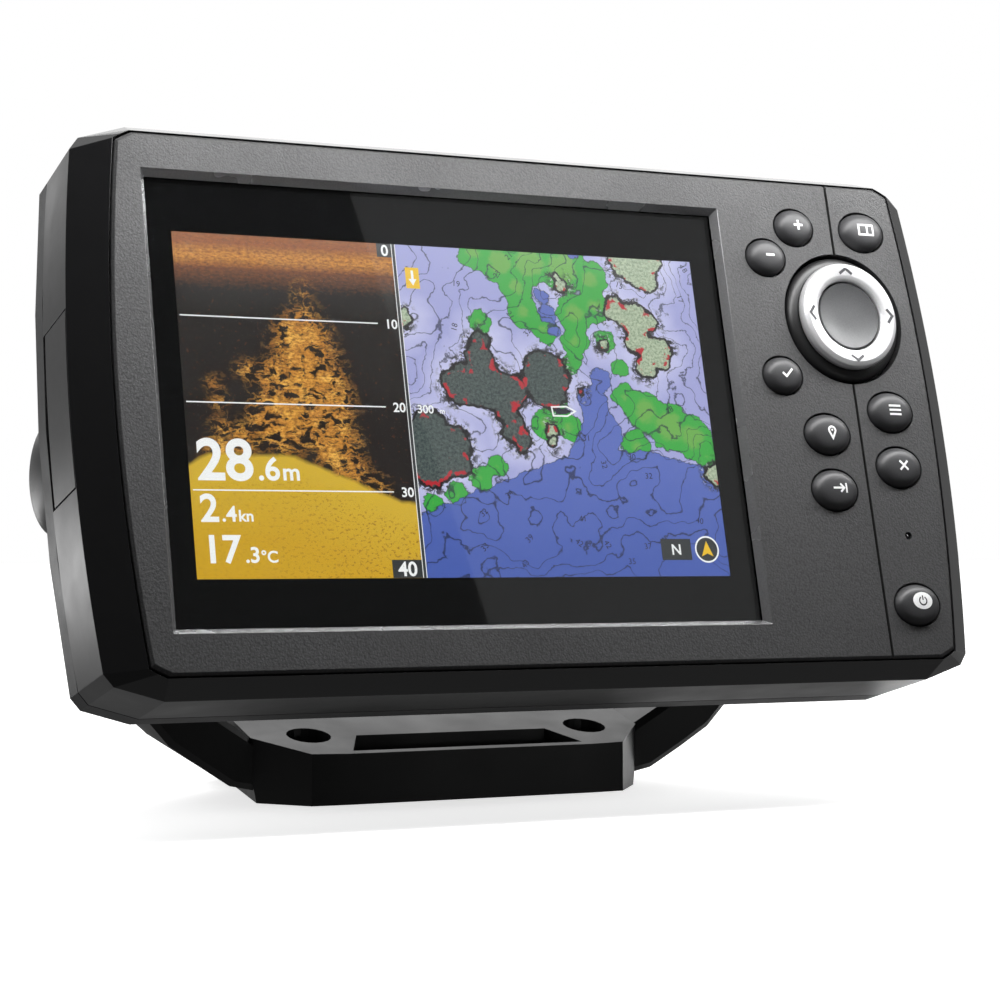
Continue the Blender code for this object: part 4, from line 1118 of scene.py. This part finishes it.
def make_back():
    from_cad("rear_case", CASE, "head", 0.45 * MM, 18)
    rear = span("rear_case")[0].z
    for name, pins in (("power_socket", 4), ("transducer_socket", 7)):
        low, high = span(name)
        centre = (low + high) / 2
        spot = Matrix.Translation((centre.x, centre.y, rear))
        r, cup, floor, mouth = 8.0 * MM, 6.2 * MM, 2.4 * MM, low.z - rear
        flange, lip, thread_turns, pitch = WALL + GAP, r + 2.0 * MM, 4, 1.0 * MM
        profile = [(0.0, flange + 1.8 * MM), (lip, flange + 1.8 * MM), (lip, flange),
                   (r, flange), (r, -0.6 * MM)]
        for i in range(thread_turns):
            z = -0.8 * MM - i * pitch
            profile += [(r, z), (r - 0.42 * MM, z - 0.28 * MM), (r - 0.42 * MM, z - 0.45 * MM),
                        (r, z - 0.73 * MM)]
        profile += [(r - 0.1 * MM, mouth + 0.25 * MM), (r - 0.4 * MM, mouth),
                    (cup + 0.4 * MM, mouth), (cup, mouth + 0.4 * MM), (cup, floor),
                    (0.0, floor)]
        bm = bmesh.new()
        add_turned(bm, profile, 96, spot)
        made = piece(name + "_body", bm, SOCKET, "head", (name,), sharp=25)
        key_rib = bmesh.new()
        add_box(key_rib, (1.6 * MM, 1.6 * MM, 6.4 * MM),
                (centre.x, centre.y + cup - 0.4 * MM, rear - 0.9 * MM))
        cut(made, key_rib, operation="UNION")
        contacts = bmesh.new()
        for i in range(pins):
            a = 2 * math.pi * i / (pins if pins == 4 else pins - 1) + math.pi / 4
            reach = 0.0 if (pins == 7 and i == pins - 1) else 3.2 * MM
            pin = [(0.0, floor + 0.05 * MM), (0.55 * MM, floor + 0.05 * MM),
                   (0.55 * MM, -2.6 * MM), (0.40 * MM, -3.0 * MM), (0.0, -3.15 * MM)]
            shifted = spot @ Matrix.Translation((reach * math.cos(a), reach * math.sin(a), 0.0))
            add_turned(contacts, pin, 20, shifted)
        piece(name + "_pins", contacts, GOLD, "head", sharp=40)

    centre = middle("vent_plug")
    spot = Matrix.Translation((centre.x, centre.y, rear))
    vent = bmesh.new()
    add_turned(vent, [(0.0, 2.8 * MM), (3.0 * MM, 2.8 * MM), (3.0 * MM, -0.3 * MM),
                      (4.8 * MM, -0.3 * MM), (4.8 * MM, -1.1 * MM), (4.5 * MM, -1.5 * MM),
                      (4.0 * MM, -1.75 * MM), (2.6 * MM, -1.8 * MM), (2.4 * MM, -1.35 * MM),
                      (0.0, -1.35 * MM)], 64, spot)
    made = piece("vent_cap", vent, SEAL, "head", ("vent_plug",), sharp=40)
    slots = bmesh.new()
    for i in range(6):
        turn = Matrix.Rotation(math.pi / 3 * i, 4, "Z")
        add_box(slots, (1.4 * MM, 0.5 * MM, 0.9 * MM), (3.4 * MM, 0.0, -1.9 * MM), spot @ turn)
    cut(made, slots)

    for i in range(1, 5):
        make_screw(f"case_screw_{i}")


def make_screw(node):
    """Pan-head screw with a cross recess, seen from behind."""
    low, high = span(node)
    centre = (low + high) / 2
    head_r = (high.x - low.x) / 2
    seat = low.z + 1.5 * MM
    spot = Matrix.Translation((centre.x, centre.y, seat))
    steps = 10
    dome_points = [(head_r * math.sin(t), -1.5 * MM * math.cos(t) ** 0.8)
                   for t in (math.pi / 2 * (1 - i / steps) for i in range(steps + 1))]
    profile = [(0.0, high.z - seat), (0.9 * MM, high.z - seat),
               (1.2 * MM, high.z - seat - 0.4 * MM), (1.2 * MM, 0.0), (head_r, 0.0)]
    bm = bmesh.new()
    add_turned(bm, profile + dome_points[1:-1] + [(0.0, -1.5 * MM)], 48, spot)
    made = piece(node + "_fine", bm, DARK_STEEL, "head", (node,), sharp=35)
    for turn in (0.0, math.pi / 2):
        arm = bmesh.new()
        add_box(arm, (2.6 * MM, 0.55 * MM, 1.3 * MM), (0.0, 0.0, -1.3 * MM),
                spot @ Matrix.Rotation(turn + 0.4, 4, "Z"))
        cut(made, arm)


# ---------------------------------------------------------------- clamp and bracket


def make_knobs():
    for side, word in ((LEFT, "left"), (RIGHT, "right")):
        node = f"knob_{word}"
        low, high = span(node)
        centre = (low + high) / 2
        inner, outer = (low.x, high.x) if side == RIGHT else (high.x, low.x)
        tall = abs(outer - inner)
        r = (high.y - low.y) / 2
        spot = Matrix.Translation((inner, centre.y, centre.z)) @ Matrix.Rotation(
            side * math.pi / 2, 4, "Y")
        steps = 20
        crown = [((r - 0.5 * MM) * math.sin(t), tall * (0.44 + 0.56 * math.cos(t) ** 0.9))
                 for t in (math.pi / 2 * i / steps for i in range(steps))]
        crown.append((r - 0.5 * MM, tall * 0.44))
        bore = 3.3 * MM
        profile = crown + [(r, tall * 0.42), (r, tall * 0.22), (r - 0.7 * MM, tall * 0.18),
                           (r - 1.0 * MM, tall * 0.10), (r - 1.4 * MM, 0.0), (bore, 0.0),
                           (bore, 5.6 * MM), (0.0, 5.6 * MM)]
        bm = bmesh.new()
        add_turned(bm, profile, 144, spot)
        made = piece(node + "_cap", bm, KNOB, node, (node,), sharp=32)
        flutes = bmesh.new()
        count = 18
        for i in range(count):
            a = 2 * math.pi * i / count
            place = spot @ Matrix.Rotation(a, 4, "Z") @ Matrix.Translation(
                (r + 1.5 * MM, 0.0, tall * 0.25))
            add_rod(flutes, 2.0 * MM, tall * 0.62, place, 28)
        cut(made, flutes)
        soften(made, 0.12 * MM, 2, 30, sharp=True)


def make_bracket():
    made = from_cad("bracket", BRACKET, "bracket", 0.40 * MM, 14, split=True)
    made.data.transform(made.matrix_world)
    made.matrix_world = Matrix()


CARRIED = {
    "case_gasket": SEAL, "window_gasket": SEAL, "keypad_membrane": SEAL,
    "friction_pad_left": SEAL, "friction_pad_right": SEAL, "display_chassis": INNER,
    "buzzer": INNER, "backlight": WHITE, "dome_sheet": WHITE, "lcd_panel": SENSOR,
    "light_sensor": SENSOR, "main_board": BOARD, "key_board": BOARD, "sonar_board": BOARD,
    "sonar_transformer": FERRITE, "satellite_antenna": CERAMIC, "heat_spreader": ALUMINIUM,
    "storage_capacitor": ALUMINIUM, "lcd_tray": ALUMINIUM, "processor_shield": ALUMINIUM,
    "pivot_insert_left": BRASS, "pivot_insert_right": BRASS,
}


def dress_carried_nodes():
    """Gives every CAD node that is still shown its procedural material."""
    for name, node in frame["nodes"].items():
        if not node.hide_render:
            node.data.materials.clear()
            node.data.materials.append(CARRIED.get(name, STEEL))


# ---------------------------------------------------------------- stage


def area(name, place, aim, size, power):
    light = bpy.data.lights.new(name, "AREA")
    light.shape = "RECTANGLE"
    light.size, light.size_y = size
    light.energy = power
    lamp = link(name, light)
    lamp.location = place
    lamp.rotation_euler = (Vector(aim) - Vector(place)).to_track_quat("-Z", "Y").to_euler()
    lamp.visible_camera = False


def add_floor(name, colour, strength, half, centre=(0.0, 0.0, 0.0)):
    """A level sheet that glows, so that it stays white away from the lights."""
    look = Look(name, colour, 0.9, Specular_IOR_Level=0.0)
    look.set("Emission Color", (1.0, 1.0, 1.0)).set("Emission Strength", strength)
    look.shade(look.noise(0.4), 0.01)
    bm = bmesh.new()
    bmesh.ops.create_grid(bm, x_segments=8, y_segments=8, size=half,
                          matrix=Matrix.Translation(centre))
    floor = link(name, to_mesh(name, bm))
    floor.data.materials.append(look.material)
    floor.visible_diffuse = False
    return floor


def make_stage():
    add_floor("floor", (0.90, 0.90, 0.90), 0.72, 6.0).visible_glossy = False
    # Seen only as a reflection in the lower edges, behind the right-hand end
    mirrored = add_floor("floor_behind", (0.0, 0.0, 0.0), 0.40, 0.15, (0.20, 0.12, -1.0 * MM))
    mirrored.visible_camera = mirrored.visible_shadow = False

    world = bpy.data.worlds.new("studio")
    world.use_nodes = True
    nodes, links = world.node_tree.nodes, world.node_tree.links
    background = nodes["Background"]
    path = nodes.new("ShaderNodeLightPath")
    mix = nodes.new("ShaderNodeMix")
    mix.data_type = "RGBA"
    mix.inputs[7].default_value = (1.0, 1.0, 1.0, 1.0)
    way = nodes.new("ShaderNodeSeparateXYZ")
    links.new(nodes.new("ShaderNodeTexCoord").outputs["Generated"], way.inputs[0])
    room = nodes.new("ShaderNodeMapRange")
    for socket, value in (("From Min", -0.4), ("From Max", 0.6), ("To Min", 0.085),
                          ("To Max", 0.24)):
        room.inputs[socket].default_value = value
    links.new(way.outputs["Y"], room.inputs["Value"])
    links.new(room.outputs["Result"], mix.inputs[6])
    links.new(path.outputs["Is Camera Ray"], mix.inputs[0])
    links.new(mix.outputs[2], background.inputs["Color"])
    bpy.context.scene.world = world
    bpy.context.scene.view_settings.view_transform = "Standard"

    sky = bpy.data.lights.new("overhead", "SUN")
    sky.energy = 2.2
    sky.angle = math.radians(110)
    link("overhead", sky).rotation_euler = (math.radians(-27), math.radians(5), 0.0)

    head = HEAD.translation
    beside = head + Vector((0.075, 0.0, 0.0))
    area("strip_over_face", beside + Vector((0.0, -0.047, 0.110)), beside, (0.38, 0.04), 0.70)
    area("low_wall_left", (-0.250, 0.275, 0.032), (-0.09, -0.06, 0.05), (0.34, 0.05), 0.135)
    area("wall_behind_right", (0.40, 0.85, 0.50), head, (1.2, 0.7), 0.6)
    base_end = (0.045, -0.025, 0.008)
    area("beside_base", (0.130, -0.010, 0.010), base_end, (0.03, 0.02), 0.045)
    area("before_base", (0.090, -0.175, 0.012), (0.02, -0.033, 0.008), (0.08, 0.02), 0.006)
    area("window_light", (0.62, -0.86, 0.66), head, (0.45, 0.45), 0.16)


def make_camera():
    camera = bpy.data.cameras.new("camera")
    camera.lens = 83.83
    camera.sensor_width = 36.0
    camera.dof.use_dof = False
    camera.clip_start = 0.01
    holder = link("camera", camera)
    right = Vector((0.9037, -0.4283, 0.0)).normalized()
    ahead = Vector((0.4282, 0.9035, 0.0198)).normalized()
    up = right.cross(ahead)
    holder.matrix_world = (Matrix.Translation((-0.1994, -0.4664, 0.0516))
                           @ Matrix((right, up, -ahead)).transposed().to_4x4())
    bpy.context.scene.camera = holder


make_camera()
make_stage()
make_front_housing()
make_card_door()
make_faceplate()
make_keys()
make_dpad()
make_screen()
make_back()
make_knobs()
make_bracket()
dress_carried_nodes()
